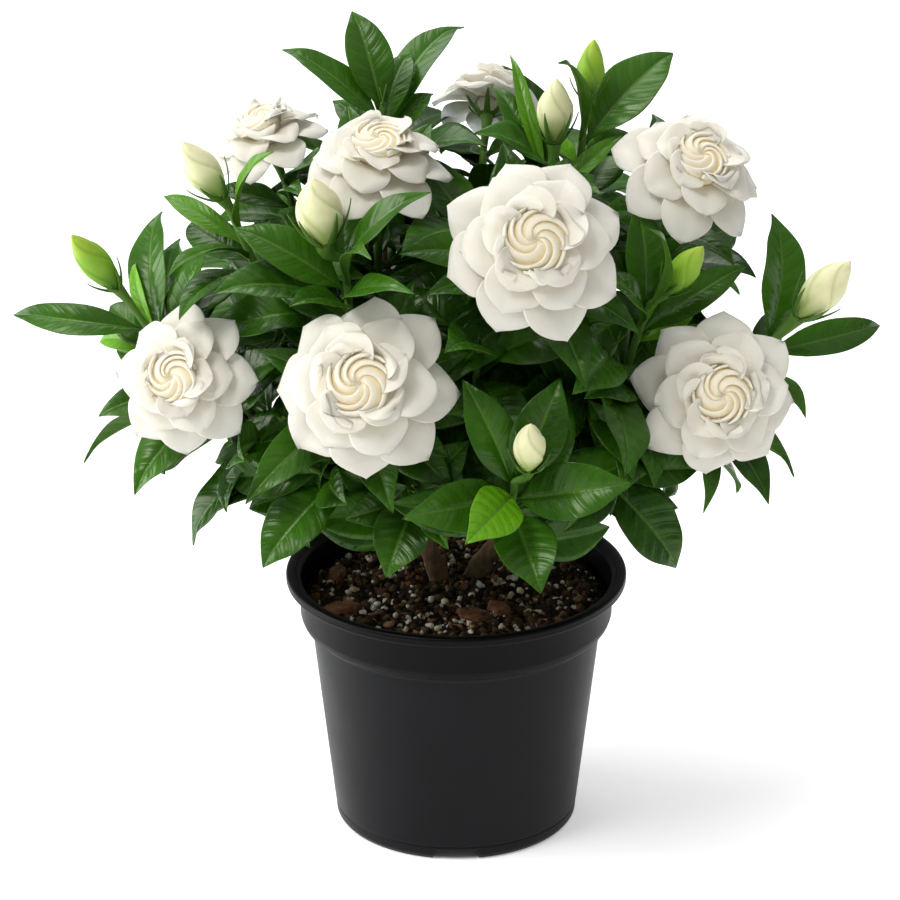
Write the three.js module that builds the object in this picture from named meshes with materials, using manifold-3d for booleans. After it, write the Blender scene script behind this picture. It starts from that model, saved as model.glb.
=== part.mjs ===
// A gardenia in flower in its nursery pot.
// Millimetres, +Z up. The origin is the middle of the pot's foot and -Y is the plant's front.

import * as THREE from 'three';
import { mergeVertices } from 'three/addons/utils/BufferGeometryUtils.js';
import Module from 'manifold-3d';

const wasm = await Module();
wasm.setup();

// ---------------------------------------------------------------- driving dimensions

const POT_HEIGHT = 129;
const RIM_RADIUS = 82.5;
const RIM_DEPTH = 5;
const SHOULDER_HEIGHT = 101.4;
const FOOT_RADIUS = 57.6;
const WALL = 1.5;
const POT_SEGMENTS = 24;
const FLOOR_HEIGHT = 6;
const NOTCH_WIDTH = 23;
const NOTCH_TOP_WIDTH = 19;
const NOTCH_HEIGHT = 5;
const DRAIN_RADIUS = 4;
const SOIL_HEIGHT = 117;
const GAP = 0.3;
const HOLE_MARGIN = 1.2;

// The pot's inner wall: height, and how far it stands out past the foot.
const INNER_WALL = [
  [FLOOR_HEIGHT, 1.3 - WALL], [SHOULDER_HEIGHT + 1.5, 12.9 - WALL],
  [SHOULDER_HEIGHT + 3.8, 16.7 - WALL], [SHOULDER_HEIGHT + 6.2, 17.7 - WALL],
  [POT_HEIGHT - 9, 18.4 - WALL], [POT_HEIGHT - 3, 19.1 - WALL],
];

const LEAF_THICKNESS = 0.7;
const LEAF_ARCH = 0.1;
const LEAF_FOLD = 0.24;
const STALK_THICKNESS = 0.9;
const STEM_TIP = 2;
const FIRST_LEAF = 2;
const LEAF_STRETCH = 24;
const MOST_TWIST = 0.6;
const PETIOLE = 0.08;
const CROWN_MIDDLE = [0, 0, 200];
const VIEW_SIDE = [0, -0.75, 0.45];
const LEAF_SPACING = 4.5;
const PETAL_THICKNESS = 0.8;
const STEM_RADIUS = 2;
const CALYX_RADIUS = 3.6;
const CALYX_SIDES = 5;
const LIMB_SIDES = 4;
const TWIG_SIDES = 3;
const CLEARANCE = 0.5;

const COLOURS = {
  pot: { color: 0x26282b, roughness: 0.5 },
  soil: { color: 0x2a1c14, roughness: 1 },
  bark: { color: 0x6b4a33, roughness: 0.9 },
  chip: { color: 0x70402a, roughness: 0.95 },
  leaf: { color: 0x1f5a24, roughness: 0.3 },
  petal: { color: 0xf6f1e2, roughness: 0.6 },
  greenBud: { color: 0xa9c46a, roughness: 0.5 },
  creamBud: { color: 0xe9ebc4, roughness: 0.55 },
};

// ---------------------------------------------------------------- the plant's plan

// Blooms: middle of the petals, the way they face, radius, petals in the whorls from the outside in.
const BLOOMS = [
  { name: 'front_left', at: [-43, -95, 262], faces: [-0.1, -0.88, 0.46], radius: 45, whorls: [8, 6, 5, 4] },
  { name: 'front_right', at: [35, -90, 329], faces: [0.05, -0.86, 0.5], radius: 45, whorls: [8, 6, 5, 4] },
  { name: 'right', at: [121, -62, 245], faces: [0.15, -0.92, 0.36], radius: 41, whorls: [8, 6, 5, 4] },
  { name: 'left', at: [-127, -62, 253], faces: [-0.35, -0.85, 0.38], radius: 37, whorls: [8, 6, 5, 4] },
  { name: 'upper_right', at: [110, -10, 335], faces: [0.3, -0.5, 0.82], radius: 39, whorls: [7, 6, 5, 3] },
  { name: 'upper_middle', at: [-37, -22, 344], faces: [0, -0.28, 0.96], radius: 38, whorls: [7, 6, 5, 3] },
  { name: 'upper_left', at: [-90, 30, 338], faces: [-0.35, -0.15, 0.92], radius: 32, whorls: [7, 6, 5, 3] },
  { name: 'top_back', at: [15, 60, 347], faces: [0.05, 0.75, 0.66], radius: 28, whorls: [7, 5, 4, 3] },
];

// Buds: foot, tip, radius and whether they still are green.
const BUDS = [
  { name: 'left', foot: [-160, -32, 288], tip: [-179, -40, 316], radius: 7.5, green: true },
  { name: 'upper_left', foot: [-111, -10, 325], tip: [-128, -12, 352], radius: 8.5, green: false },
  { name: 'middle_left', foot: [-61, -60, 321], tip: [-66, -62, 352], radius: 11.5, green: false },
  { name: 'top_right', foot: [46, 8, 346], tip: [47, 12, 375], radius: 8.8, green: false },
  { name: 'top', foot: [62, 24, 362], tip: [65, 28, 389], radius: 6.8, green: true },
  { name: 'right_middle', foot: [99, -45, 291], tip: [114, -55, 316], radius: 7, green: true },
  { name: 'right', foot: [162, -28, 272], tip: [184, -35, 301], radius: 9.5, green: false },
  { name: 'front', foot: [33, -108, 228], tip: [34, -118, 253], radius: 7.8, green: false },
];

// Leafy stems: node where the leaves sit, the way the stem points there, the flower or bud that
// it ends in, and each leaf's tip with its width.
const SHOOTS = [
  { name: 'front_left', node: [-40, -65, 246], axis: [-0.1, -0.82, 0.56], bloom: 'front_left',
    leaves: [[-98, -108, 210, 23], [-30, -107, 205, 23], [8, -85, 242, 20], [6, -71, 270, 19],
      [-20, -55, 300, 20], [-93, -62, 268, 17]] },
  { name: 'front_right', node: [33, -61, 312], axis: [0.05, -0.75, 0.66], bloom: 'front_right',
    leaves: [[-27, -72, 320, 20], [-14, -83, 304, 18], [60, -109, 268, 24], [84, -92, 289, 21],
      [48, -46, 351, 18]] },
  { name: 'right_flower', node: [116, -33, 233], axis: [0.3, -0.8, 0.5], bloom: 'right',
    leaves: [[117, -78, 192, 12], [148, -67, 192, 20], [79, -64, 222, 22], [161, -33, 230, 18]] },
  { name: 'left_flower', node: [-116, -36, 241], axis: [-0.5, -0.7, 0.5], bloom: 'left',
    leaves: [[-153, -60, 194, 27], [-171, -32, 222, 17], [-159, -17, 248, 13], [-101, -33, 281, 18]] },
  { name: 'upper_right', node: [100, 7, 308], axis: [0.3, -0.3, 0.9], bloom: 'upper_right',
    leaves: [[67, -27, 322, 18], [131, -22, 296, 18], [95, 57, 344, 20]] },
  { name: 'upper_middle', node: [-37, -6, 319], axis: [0, -0.35, 0.93], bloom: 'upper_middle',
    leaves: [[-73, -15, 325, 18], [-8, -41, 327, 18], [-12, 26, 350, 20], [-52, 35, 356, 18]] },
  { name: 'upper_left', node: [-81, 34, 313], axis: [-0.25, 0, 0.95], bloom: 'upper_left',
    leaves: [[-76, -21, 337, 11], [-117, 40, 309, 15], [-59, -13, 343, 17]] },
  { name: 'top_back', node: [13, 48, 325], axis: [0.05, 0.4, 0.9], bloom: 'top_back',
    leaves: [[7, 107, 301, 15], [41, 84, 314, 15], [-8, 87, 313, 16]] },
  { name: 'left_bud', node: [-145, -30, 266], axis: [-0.64, -0.13, 0.76], bud: 'left',
    leaves: [[-212, -8, 265, 16], [-142, 25, 306, 22], [-130, -2, 281, 15], [-153, 2, 289, 7],
      [-172, 2, 247, 12]] },
  { name: 'upper_left_bud', node: [-102, -12, 307], axis: [-0.42, -0.05, 0.91], bud: 'upper_left',
    leaves: [[-140, 17, 316, 11], [-129, 24, 299, 20], [-87, -52, 363, 14], [-129, -74, 290, 22],
      [-134, -63, 307, 13]] },
  { name: 'middle_left_bud', node: [-52, -55, 308], axis: [-0.1, -0.1, 0.95], bud: 'middle_left',
    leaves: [[-104, -46, 323, 22], [-55, -17, 344, 19], [-14, -95, 359, 18], [-40, -120, 337, 10],
      [-76, -90, 302, 18], [-21, -124, 322, 15]] },
  { name: 'top_right_bud', node: [43, 5, 326], axis: [0, -0.05, 1], bud: 'top_right',
    leaves: [[17, 39, 364, 16], [26, 48, 377, 8], [79, 25, 344, 10], [67, -33, 336, 15],
      [11, -40, 334, 15]] },
  { name: 'top_bud', node: [60, 22, 344], axis: [0.1, 0, 1], bud: 'top',
    leaves: [[49, -22, 397, 11], [104, 56, 375, 27], [86, 39, 337, 17], [34, 40, 341, 12]] },
  { name: 'right_middle_bud', node: [90, -42, 281], axis: [0.32, -0.27, 0.91], bud: 'right_middle',
    leaves: [[137, -24, 296, 17], [84, -24, 328, 23], [66, -90, 314, 18], [114, -16, 274, 17],
      [91, -86, 338, 10]] },
  { name: 'right_bud', node: [147, -25, 255], axis: [0.64, -0.13, 0.76], bud: 'right',
    leaves: [[151, 6, 311, 27], [131, 1, 259, 22], [205, 14, 251, 17], [165, -51, 230, 14],
      [130, -71, 274, 12]] },
  { name: 'front_bud', node: [27, -100, 216], axis: [0.05, -0.62, 0.78], bud: 'front',
    leaves: [[81, -112, 221, 27], [5, -140, 204, 25], [39, -131, 175, 29], [-24, -131, 212, 25],
      [3, -92, 265, 22], [48, -92, 266, 25]] },
  { name: 'crown', node: [-35, 45, 347], axis: [0, 0.05, 1],
    leaves: [[-83, 58, 376, 18], [-50, 72, 390, 22], [4, 118, 369, 20], [-22, 84, 365, 18],
      [-11, 74, 348, 16], [-60, 75, 344, 16]] },
  { name: 'low_left', node: [-66, -60, 206], axis: [-0.62, -0.62, 0.49],
    leaves: [[-92, -76, 163, 28], [-111, -42, 194, 23], [-67, -67, 177, 10], [-52, -89, 201, 22],
      [-83, -45, 225, 20]] },
  { name: 'low_middle', node: [-19, -75, 202], axis: [-0.17, -0.87, 0.46],
    leaves: [[-33, -99, 168, 27], [-52, -82, 190, 20], [-4, -96, 181, 12], [6, -77, 228, 18]] },
  { name: 'low_right', node: [76, -60, 206], axis: [0.49, -0.73, 0.49],
    leaves: [[106, -51, 151, 29], [91, -45, 180, 25], [51, -98, 191, 20], [115, -54, 204, 18],
      [62, -63, 243, 20]] },
];

// The rest of the crown, mostly its back: bearing round the plant (0 is +X, 90 the back), distance
// from the middle, height and number of leaves, which follow one rule.
const FILL_SHOOTS = [
  { name: 'back_right_low', bearing: 12, reach: 122, height: 205, count: 5 },
  { name: 'back_right', bearing: 42, reach: 128, height: 255, count: 5 },
  { name: 'back_middle_right', bearing: 68, reach: 128, height: 205, count: 5 },
  { name: 'back_middle', bearing: 92, reach: 118, height: 262, count: 5 },
  { name: 'back_middle_left', bearing: 118, reach: 128, height: 208, count: 5 },
  { name: 'back_left', bearing: 142, reach: 126, height: 258, count: 5 },
  { name: 'back_left_low', bearing: 168, reach: 122, height: 205, count: 5 },
  { name: 'back_top_right', bearing: 55, reach: 82, height: 308, count: 5 },
  { name: 'back_top_left', bearing: 125, reach: 84, height: 310, count: 5 },
  { name: 'inner_left', bearing: 215, reach: 70, height: 285, count: 4 },
  { name: 'inner_front', bearing: 280, reach: 60, height: 264, count: 5 },
  { name: 'inner_middle', bearing: 300, reach: 22, height: 312, count: 5 },
  { name: 'inner_back', bearing: 95, reach: 20, height: 300, count: 5 },
  { name: 'inner_right', bearing: 325, reach: 88, height: 262, count: 5 },
  { name: 'inner_low_left', bearing: 200, reach: 96, height: 212, count: 4 },
  { name: 'inner_low_right', bearing: 338, reach: 64, height: 232, count: 4 },
];
const FILL_LEAF_LENGTH = 63;
const FILL_LEAF_ASPECT = 0.42;
const FILL_LEAF_ANGLE = 68;
const TURN = 137.5;
const SEED = 577;

// Main stems out of the soil, then the limbs that leave each of them.
const TRUNKS = [
  { foot: [-1, 12, 74], points: [[-8, 11, 117], [-15, 4, 142], [-22, 2, 162]], radius: 4.6 },
  { foot: [1, 12, 74], points: [[8, 13, 117], [20, 7, 139], [29, 6, 158]], radius: 4.8 },
];
const LIMBS = [
  { trunk: 0, from: 0.5, points: [[-50, -18, 185], [-88, -14, 205]] },
  { trunk: 0, from: 0.62, points: [[-38, -24, 188], [-42, -30, 218]] },
  { trunk: 0, from: 1, points: [[-30, 4, 220], [-42, 8, 262]] },
  { trunk: 0, from: 0.86, points: [[-48, 34, 200], [-84, 48, 232]] },
  { trunk: 0, from: 0.74, points: [[-26, 40, 190], [-32, 72, 222]] },
  { trunk: 1, from: 0.5, points: [[58, -10, 180], [92, -16, 200]] },
  { trunk: 1, from: 0.62, points: [[30, -26, 178], [34, -38, 215]] },
  { trunk: 1, from: 1, points: [[36, 8, 220], [46, 8, 262]] },
  { trunk: 1, from: 0.86, points: [[57, 35, 194], [86, 44, 230]] },
  { trunk: 1, from: 0.74, points: [[32, 44, 190], [36, 74, 225]] },
];
const LIMB_RADIUS = 3;
const TWIG_RADIUS = 2.1;
const FORKS = 7;

// Bark chips on the soil: place, length, turn.
const CHIPS = [
  { name: 'left', at: [-55, -24], length: 21, turn: 8 },
  { name: 'front', at: [-2, -66], length: 16, turn: -12 },
  { name: 'middle', at: [9, -34], length: 21, turn: -38 },
  { name: 'back_left', at: [-58, 16], length: 17, turn: 78 },
  { name: 'right', at: [21, -28], length: 18, turn: -65 },
];

// ---------------------------------------------------------------- helpers

const v = (x, y, z) => new THREE.Vector3(x, y, z);
const fromArray = (a) => new THREE.Vector3(a[0], a[1], a[2]);
const radians = THREE.MathUtils.degToRad;

let draw = SEED;
function random(low, high) {
  draw = (draw * 16807) % 2147483647;
  return low + ((high - low) * draw) / 2147483647;
}

function solidFrom(points, faces) {
  return new wasm.Manifold(new wasm.Mesh({
    numProp: 3,
    vertProperties: new Float32Array(points.flatMap((p) => p.toArray())),
    triVerts: new Uint32Array(faces.flat()),
  }));
}

function solidOf(geometry) {
  geometry.deleteAttribute('normal');
  geometry.deleteAttribute('uv');
  const merged = mergeVertices(geometry, 1e-4);
  return new wasm.Manifold(new wasm.Mesh({
    numProp: 3,
    vertProperties: new Float32Array(merged.attributes.position.array),
    triVerts: new Uint32Array(merged.index.array),
  }));
}

function meshOf(name, solid, finish) {
  const { vertProperties, triVerts } = solid.getMesh();
  const geometry = new THREE.BufferGeometry();
  geometry.setAttribute('position', new THREE.BufferAttribute(new Float32Array(vertProperties), 3));
  geometry.setIndex(new THREE.BufferAttribute(new Uint32Array(triVerts), 1));
  geometry.computeVertexNormals();
  const mesh = new THREE.Mesh(geometry, new THREE.MeshStandardMaterial({ ...finish, metalness: 0 }));
  mesh.name = name;
  return mesh;
}

const across = (tangent, out) => tangent.clone().cross(out).normalize();
const square = (out, tangent) => out.clone().addScaledVector(tangent, -out.dot(tangent)).normalize();

// A direction square to another one.
const anySide = (way) => square(Math.abs(way.z) > 0.9 ? v(1, 0, 0) : v(0, 0, 1), way);

// Closes a blade from rows of middle-surface points, root first and left to right.
// Both faces are split into triangles alike, and the edge is cut square.
function bladeFrom(rows, thickness) {
  const points = [];
  const index = rows.map((row) => row.map(({ at, out }) => {
    points.push(at.clone().addScaledVector(out, thickness / 2));
    return points.length - 1;
  }));
  const count = points.length;
  rows.flat().forEach(({ at, out }) => points.push(at.clone().addScaledVector(out, -thickness / 2)));
  const upper = [];
  for (let r = 0; r < index.length - 1; r++) {
    const a = index[r];
    const b = index[r + 1];
    if (a.length === 1) {
      for (let k = 0; k < b.length - 1; k++) upper.push([a[0], b[k + 1], b[k]]);
    } else if (b.length === 1) {
      for (let k = 0; k < a.length - 1; k++) upper.push([a[k], a[k + 1], b[0]]);
    } else {
      for (let k = 0; k < a.length - 1; k++) {
        upper.push([a[k], a[k + 1], b[k + 1]], [a[k], b[k + 1], b[k]]);
      }
    }
  }
  const right = index.map((row) => row[row.length - 1]);
  const left = index.slice(1, -1).map((row) => row[0]).reverse();
  const loop = [...right, ...left, ...index[0].slice(0, -1)];
  const rim = loop.flatMap((from, k) => {
    const to = loop[(k + 1) % loop.length];
    return [[to, from, from + count], [to, from + count, to + count]];
  });
  const lower = upper.map(([a, b, c]) => [a + count, c + count, b + count]);
  return solidFrom(points, [...upper, ...rim, ...lower]);
}

// A stem of straight-sided rings along points, each with its own radius, ends cut square.
function tubeAlong(points, radii, sides, endWay = null) {
  const tangents = points.map((p, k) => {
    if (endWay && k === points.length - 1) return endWay;
    const before = points[Math.max(k - 1, 0)];
    const after = points[Math.min(k + 1, points.length - 1)];
    return after.clone().sub(before).normalize();
  });
  let side = tangents[0].clone().cross(tangents[tangents.length - 1]);
  if (side.length() < 0.05) side = anySide(tangents[0]);
  const rings = points.map((p, k) => {
    side = square(side, tangents[k]);
    const other = tangents[k].clone().cross(side);
    return Array.from({ length: sides }, (_, i) => {
      const angle = (i / sides) * 2 * Math.PI;
      return p.clone()
        .addScaledVector(side, radii[k] * Math.cos(angle))
        .addScaledVector(other, radii[k] * Math.sin(angle));
    });
  });
  return solidOfRings(rings);
}

// Joins rings of points into one closed skin. The last ring may be a single point.
function solidOfRings(rings) {
  const sides = rings[0].length;
  const points = rings.flat();
  const faces = [];
  for (let i = 1; i < sides - 1; i++) faces.push([0, i + 1, i]);
  let start = 0;
  for (let r = 0; r < rings.length - 1; r++) {
    const next = start + sides;
    for (let i = 0; i < sides; i++) {
      const j = (i + 1) % sides;
      if (rings[r + 1].length === 1) faces.push([start + i, start + j, next]);
      else faces.push([start + i, start + j, next + j], [start + i, next + j, next + i]);
    }
    start = next;
  }
  if (rings[rings.length - 1].length > 1) {
    for (let i = 1; i < sides - 1; i++) faces.push([start, start + i, start + i + 1]);
  }
  return solidFrom(points, faces);
}

// Stitches two rings of points, lower then upper, each a list of [angle, index] in rising angle.
function stitched(lower, upper) {
  const faces = [];
  let i = 0;
  let j = 0;
  const angleOf = (ring, k) => ring[k % ring.length][0] + (k >= ring.length ? 2 * Math.PI : 0);
  const indexOf = (ring, k) => ring[k % ring.length][1];
  while (i < lower.length || j < upper.length) {
    const lowerNext = i < lower.length
      && (j >= upper.length || angleOf(lower, i + 1) <= angleOf(upper, j + 1));
    if (lowerNext) {
      faces.push([indexOf(lower, i), indexOf(lower, i + 1), indexOf(upper, j)]);
      i += 1;
    } else {
      faces.push([indexOf(lower, i), indexOf(upper, j + 1), indexOf(upper, j)]);
      j += 1;
    }
  }
  return faces;
}

// A blade's rows: left edge, rib and right edge at each station, and its tip.
const rowsOf = (surface, stations) => [...stations.map((s) => [-1, 0, 1].map((t) => surface(s, t))),
  [surface(1, 0)]];

// Draws a blade out of a facet of a stem or core, from the [left, right] ends of its two edges.
// Both faces are split into triangles alike, and the blade's edge is cut square.
function drawBlade(rows, thickness, highRoot, lowRoot, addPoint, faces) {
  const layer = (root, shift) => [root, ...rows.map((row) => row.map(({ at, out }) => (
    addPoint(at.clone().addScaledVector(out, shift * thickness)))))];
  const skin = (layers) => layers.slice(1).flatMap((b, k) => {
    const a = layers[k];
    if (a.length === 2) return [[a[0], b[1], b[0]], [a[0], a[1], b[1]], [a[1], b[2], b[1]]];
    if (b.length === 1) return [[a[0], a[1], b[0]], [a[1], a[2], b[0]]];
    return [[a[0], a[1], b[1]], [a[0], b[1], b[0]], [a[1], a[2], b[2]], [a[1], b[2], b[1]]];
  });
  const edge = (layers) => [...layers.map((row) => row[row.length - 1]),
    ...layers.slice(0, -1).map((row) => row[0]).reverse()];
  const high = layer(highRoot, 0.5);
  const low = layer(lowRoot, -0.5);
  const highEdge = edge(high);
  const lowEdge = edge(low);
  faces.push(...skin(high), ...skin(low).map(([a, b, c]) => [a, c, b]));
  for (let k = 0; k < highEdge.length - 1; k++) {
    faces.push([highEdge[k + 1], highEdge[k], lowEdge[k]], [highEdge[k + 1], lowEdge[k], lowEdge[k + 1]]);
  }
}

const FULL_TURN = 2 * Math.PI;
const wrapped = (angle) => ((angle % FULL_TURN) + FULL_TURN) % FULL_TURN;
const sorted = (ring) => [...ring].sort((a, b) => a[0] - b[0]);

function bezier(a, b, c, s) {
  return a.clone().multiplyScalar((1 - s) ** 2)
    .addScaledVector(b, 2 * s * (1 - s))
    .addScaledVector(c, s ** 2);
}

function bezierTangent(a, b, c, s) {
  return b.clone().sub(a).multiplyScalar(1 - s)
    .addScaledVector(c.clone().sub(b), s)
    .normalize();
}

// ---------------------------------------------------------------- pot

// Half of the pot's section, from the middle of the floor out, up the outside and down the inside.
function potSection() {
  const lip = RIM_RADIUS;
  const top = POT_HEIGHT;
  const outside = [
    [FOOT_RADIUS - 1, 0], [FOOT_RADIUS + 0.9, 3], [FOOT_RADIUS + 12.7, SHOULDER_HEIGHT],
    [FOOT_RADIUS + 16.8, SHOULDER_HEIGHT + 2.6], [FOOT_RADIUS + 18, SHOULDER_HEIGHT + 6],
    [FOOT_RADIUS + 18.6, top - RIM_DEPTH], [lip - 0.6, top - RIM_DEPTH + 0.4],
    [lip, top - RIM_DEPTH + 1], [lip, top - 1],
  ];
  const inside = [
    [lip - 1, top], [lip - 4.7, top],
    ...INNER_WALL.map(([height, step]) => [FOOT_RADIUS + step, height]).reverse(),
  ];
  const under = [[FOOT_RADIUS - 9, FLOOR_HEIGHT - WALL], [FOOT_RADIUS - 7, 0]];
  return [[0, FLOOR_HEIGHT], [0, 0], [16, 0], [18, FLOOR_HEIGHT - WALL], ...under, ...outside, ...inside];
}

function latheSolid(section) {
  const closed = [...section, section[0]].map(([x, y]) => new THREE.Vector2(x, y));
  const geometry = new THREE.LatheGeometry(closed, POT_SEGMENTS);
  geometry.rotateX(Math.PI / 2);
  const solid = solidOf(geometry);
  return solid.volume() > 0 ? solid : solidOf(flipped(geometry));
}

function flipped(geometry) {
  const order = geometry.index.array;
  for (let i = 0; i < order.length; i += 3) [order[i], order[i + 1]] = [order[i + 1], order[i]];
  return geometry;
}

function prism(outline, length) {
  const shape = new THREE.Shape(outline.map(([x, y]) => new THREE.Vector2(x, y)));
  return new THREE.ExtrudeGeometry(shape, { depth: length, bevelEnabled: false });
}

function makePot() {
  let pot = latheSolid(potSection());
  for (let k = 0; k < 3; k++) {
    const notch = prism([[-NOTCH_WIDTH / 2, -1], [NOTCH_WIDTH / 2, -1],
      [NOTCH_TOP_WIDTH / 2, NOTCH_HEIGHT], [-NOTCH_TOP_WIDTH / 2, NOTCH_HEIGHT]], 16);
    notch.rotateX(Math.PI / 2);
    notch.translate(0, -(FOOT_RADIUS - 11), 0);
    notch.rotateZ(radians(120 * k));
    pot = pot.subtract(solidOf(notch));
  }
  for (let k = 0; k < 3; k++) {
    const drain = new THREE.CylinderGeometry(DRAIN_RADIUS, DRAIN_RADIUS, 8, 8);
    drain.rotateX(Math.PI / 2);
    drain.translate(34, 0, FLOOR_HEIGHT);
    drain.rotateZ(radians(120 * k + 30));
    pot = pot.subtract(solidOf(drain));
  }
  return pot;
}

// ---------------------------------------------------------------- soil

// The inner wall's radius at a height, by straight runs between the section's points.
function innerRadius(height) {
  const k = Math.max(1, INNER_WALL.findIndex(([z]) => z >= height));
  const [z0, r0] = INNER_WALL[k - 1];
  const [z1, r1] = INNER_WALL[k];
  return FOOT_RADIUS + r0 + ((r1 - r0) * (height - z0)) / (z1 - z0);
}

function makeSoil() {
  const sides = 16;
  const inset = GAP + innerRadius(SOIL_HEIGHT) * (1 - Math.cos(Math.PI / POT_SEGMENTS)) + 0.3;
  const ring = (radius, height, bump) => Array.from({ length: sides }, (_, i) => {
    const angle = (i / sides) * 2 * Math.PI;
    return v(radius * Math.cos(angle), radius * Math.sin(angle), height + random(-bump, bump));
  });
  const walls = [FLOOR_HEIGHT + GAP, SHOULDER_HEIGHT + 1, SHOULDER_HEIGHT + 6.2, SOIL_HEIGHT - 3];
  const rings = walls.map((z) => ring(innerRadius(z) - inset, z, 0));
  rings.push(ring(66, SOIL_HEIGHT, 1.6), ring(42, SOIL_HEIGHT, 2),
    ring(20, SOIL_HEIGHT + 1, 1.5), [v(0, 0, SOIL_HEIGHT + 1)]);
  return solidOfRings(rings);
}

// ---------------------------------------------------------------- blooms and buds

// A bloom's own axes: out along its face, and two across it.
function faceAxes(direction) {
  const out = fromArray(direction).normalize();
  const side = square(v(0, 0, 1), out);
  return { out, side, other: out.clone().cross(side) };
}

// Whorls for a bloom of radius 45, in its meridian plane: where a petal leaves the core, the point
// that pulls its curve, and its tip, each as distance from the axis and height, then its width,
// how far one edge stands over the next petal, how far both edges cup inward, and its turn.
const WHORLS = [
  { root: [7, 0], pull: [26, 8], tip: [45, -6], width: 31, lean: 0.18, cup: 0.02, turn: 0 },
  { root: [7, 5.5], pull: [19, 16.5], tip: [36, 8], width: 28, lean: 0.2, cup: 0.12, turn: 0.5 },
  { root: [5.8, 10], pull: [13, 21.5], tip: [26, 17], width: 23, lean: 0.28, cup: 0.25, turn: 0.2 },
  { root: [4, 13.5], pull: [9, 24], tip: [14, 24], width: 16, lean: 0.42, cup: 0.4, turn: 0.6 },
];
const PETAL_STATIONS = [0.5, 0.81];
const INNER_STATIONS = [0.62];
const OPEN_WHORLS = 3;
const BLOOM_TURN = 1.1;
const CLAW = 0.6;
const CORE_TOP = 17;
const BLOOM_FOOT = -10;
const FOOT_SIDES = 6;

// Half the petal's width over its length: broad shoulders and a blunt tip.
function petalWidth(s) {
  return Math.sin(Math.PI * s ** 1.5) ** 0.8;
}

// A petal's middle surface as a function: s runs from the core to the tip, t from edge to edge.
function petalSurface(whorl, angle, place, out) {
  const [root, pull, tip] = [whorl.root, whorl.pull, whorl.tip]
    .map(([far, high]) => place(far, high, angle));
  const around = place(1, 0, angle).sub(place(0, 0, 0)).cross(out).normalize();
  const scale = place(1, 0, 0).distanceTo(place(0, 0, 0));
  return (s, t) => {
    const tangent = bezierTangent(root, pull, tip, s);
    const face = around.clone().cross(tangent).normalize();
    const half = (whorl.width / 2) * scale * petalWidth(s);
    const at = bezier(root, pull, tip, s)
      .addScaledVector(around, t * half)
      .addScaledVector(face, half * (whorl.cup * t * t - whorl.lean * t));
    return { at, out: face };
  };
}

// A bloom is one skin: a small core in bands, one for each whorl, with a petal drawn out of every
// second facet of a band.
function makeBloom(plan) {
  const scale = plan.radius / WHORLS[0].tip[0];
  const { out, side, other } = faceAxes(plan.faces);
  const centre = fromArray(plan.at);
  const place = (far, high, angle) => centre.clone()
    .addScaledVector(out, high * scale)
    .addScaledVector(side, far * scale * Math.cos(angle))
    .addScaledVector(other, far * scale * Math.sin(angle));
  const points = [];
  const faces = [];
  const addPoint = (point) => points.push(point) - 1;

  const foot = Array.from({ length: FOOT_SIDES }, (_, k) => {
    const angle = (k / FOOT_SIDES) * 2 * Math.PI;
    return [angle, addPoint(place((CALYX_RADIUS - 0.4) / scale, BLOOM_FOOT, angle))];
  });
  for (let k = 1; k < FOOT_SIDES - 1; k++) faces.push([foot[0][1], foot[k + 1][1], foot[k][1]]);
  let below = foot;
  const spin = BLOOM_TURN * BLOOMS.indexOf(plan);
  plan.whorls.forEach((count, w) => {
    const whorl = WHORLS[w];
    const step = (2 * Math.PI) / count;
    const thin = PETAL_THICKNESS / 2 / scale;
    const lower = [];
    const upper = [];
    const corners = [];
    for (let k = 0; k < count; k++) {
      const angle = spin + (k + whorl.turn) * step;
      [-1, 1].forEach((edge) => {
        const at = wrapped(angle + (edge * CLAW * step) / 2);
        lower.push([at, addPoint(place(whorl.root[0], whorl.root[1] - thin, at))]);
        upper.push([at, addPoint(place(whorl.root[0], whorl.root[1] + thin, at))]);
      });
      corners.push([lower[2 * k][1], lower[2 * k + 1][1], upper[2 * k][1], upper[2 * k + 1][1]]);
    }
    faces.push(...stitched(sorted(below), sorted(lower)));
    corners.forEach(([lowRight, lowLeft, highRight, highLeft], k) => {
      const [nextLow, , nextHigh] = corners[(k + 1) % count];
      faces.push([lowLeft, nextLow, nextHigh], [lowLeft, nextHigh, highLeft]);
      const surface = petalSurface(whorl, spin + (k + whorl.turn) * step, place, out);
      const stations = w < OPEN_WHORLS ? PETAL_STATIONS : INNER_STATIONS;
      drawBlade(rowsOf(surface, stations), PETAL_THICKNESS, [highLeft, highRight], [lowLeft, lowRight],
        addPoint, faces);
    });
    below = upper;
  });
  const top = addPoint(place(0, CORE_TOP, 0));
  sorted(below).forEach(([, index], k, ring) => faces.push([index, ring[(k + 1) % ring.length][1], top]));
  return solidFrom(points, faces);
}

// A furled bud: six folds that wind round a spindle.
const BUD_SHAPE = [[0, 0.4], [0.36, 1], [0.66, 0.84], [0.9, 0.36], [1, 0]];
const BUD_SIDES = 6;
const BUD_TWIST = 1.8;

function makeBud(plan) {
  const foot = fromArray(plan.foot);
  const length = fromArray(plan.tip).sub(foot);
  const axes = faceAxes(length.toArray());
  const rings = BUD_SHAPE.map(([along, wide]) => {
    const middle = foot.clone().addScaledVector(length, along);
    if (wide === 0) return [middle];
    return Array.from({ length: BUD_SIDES }, (_, i) => {
      const angle = (i / BUD_SIDES) * 2 * Math.PI + along * BUD_TWIST;
      return middle.clone()
        .addScaledVector(axes.side, plan.radius * wide * Math.cos(angle))
        .addScaledVector(axes.other, plan.radius * wide * Math.sin(angle));
    });
  });
  return solidOfRings(rings);
}

// ---------------------------------------------------------------- leafy stems

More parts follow.
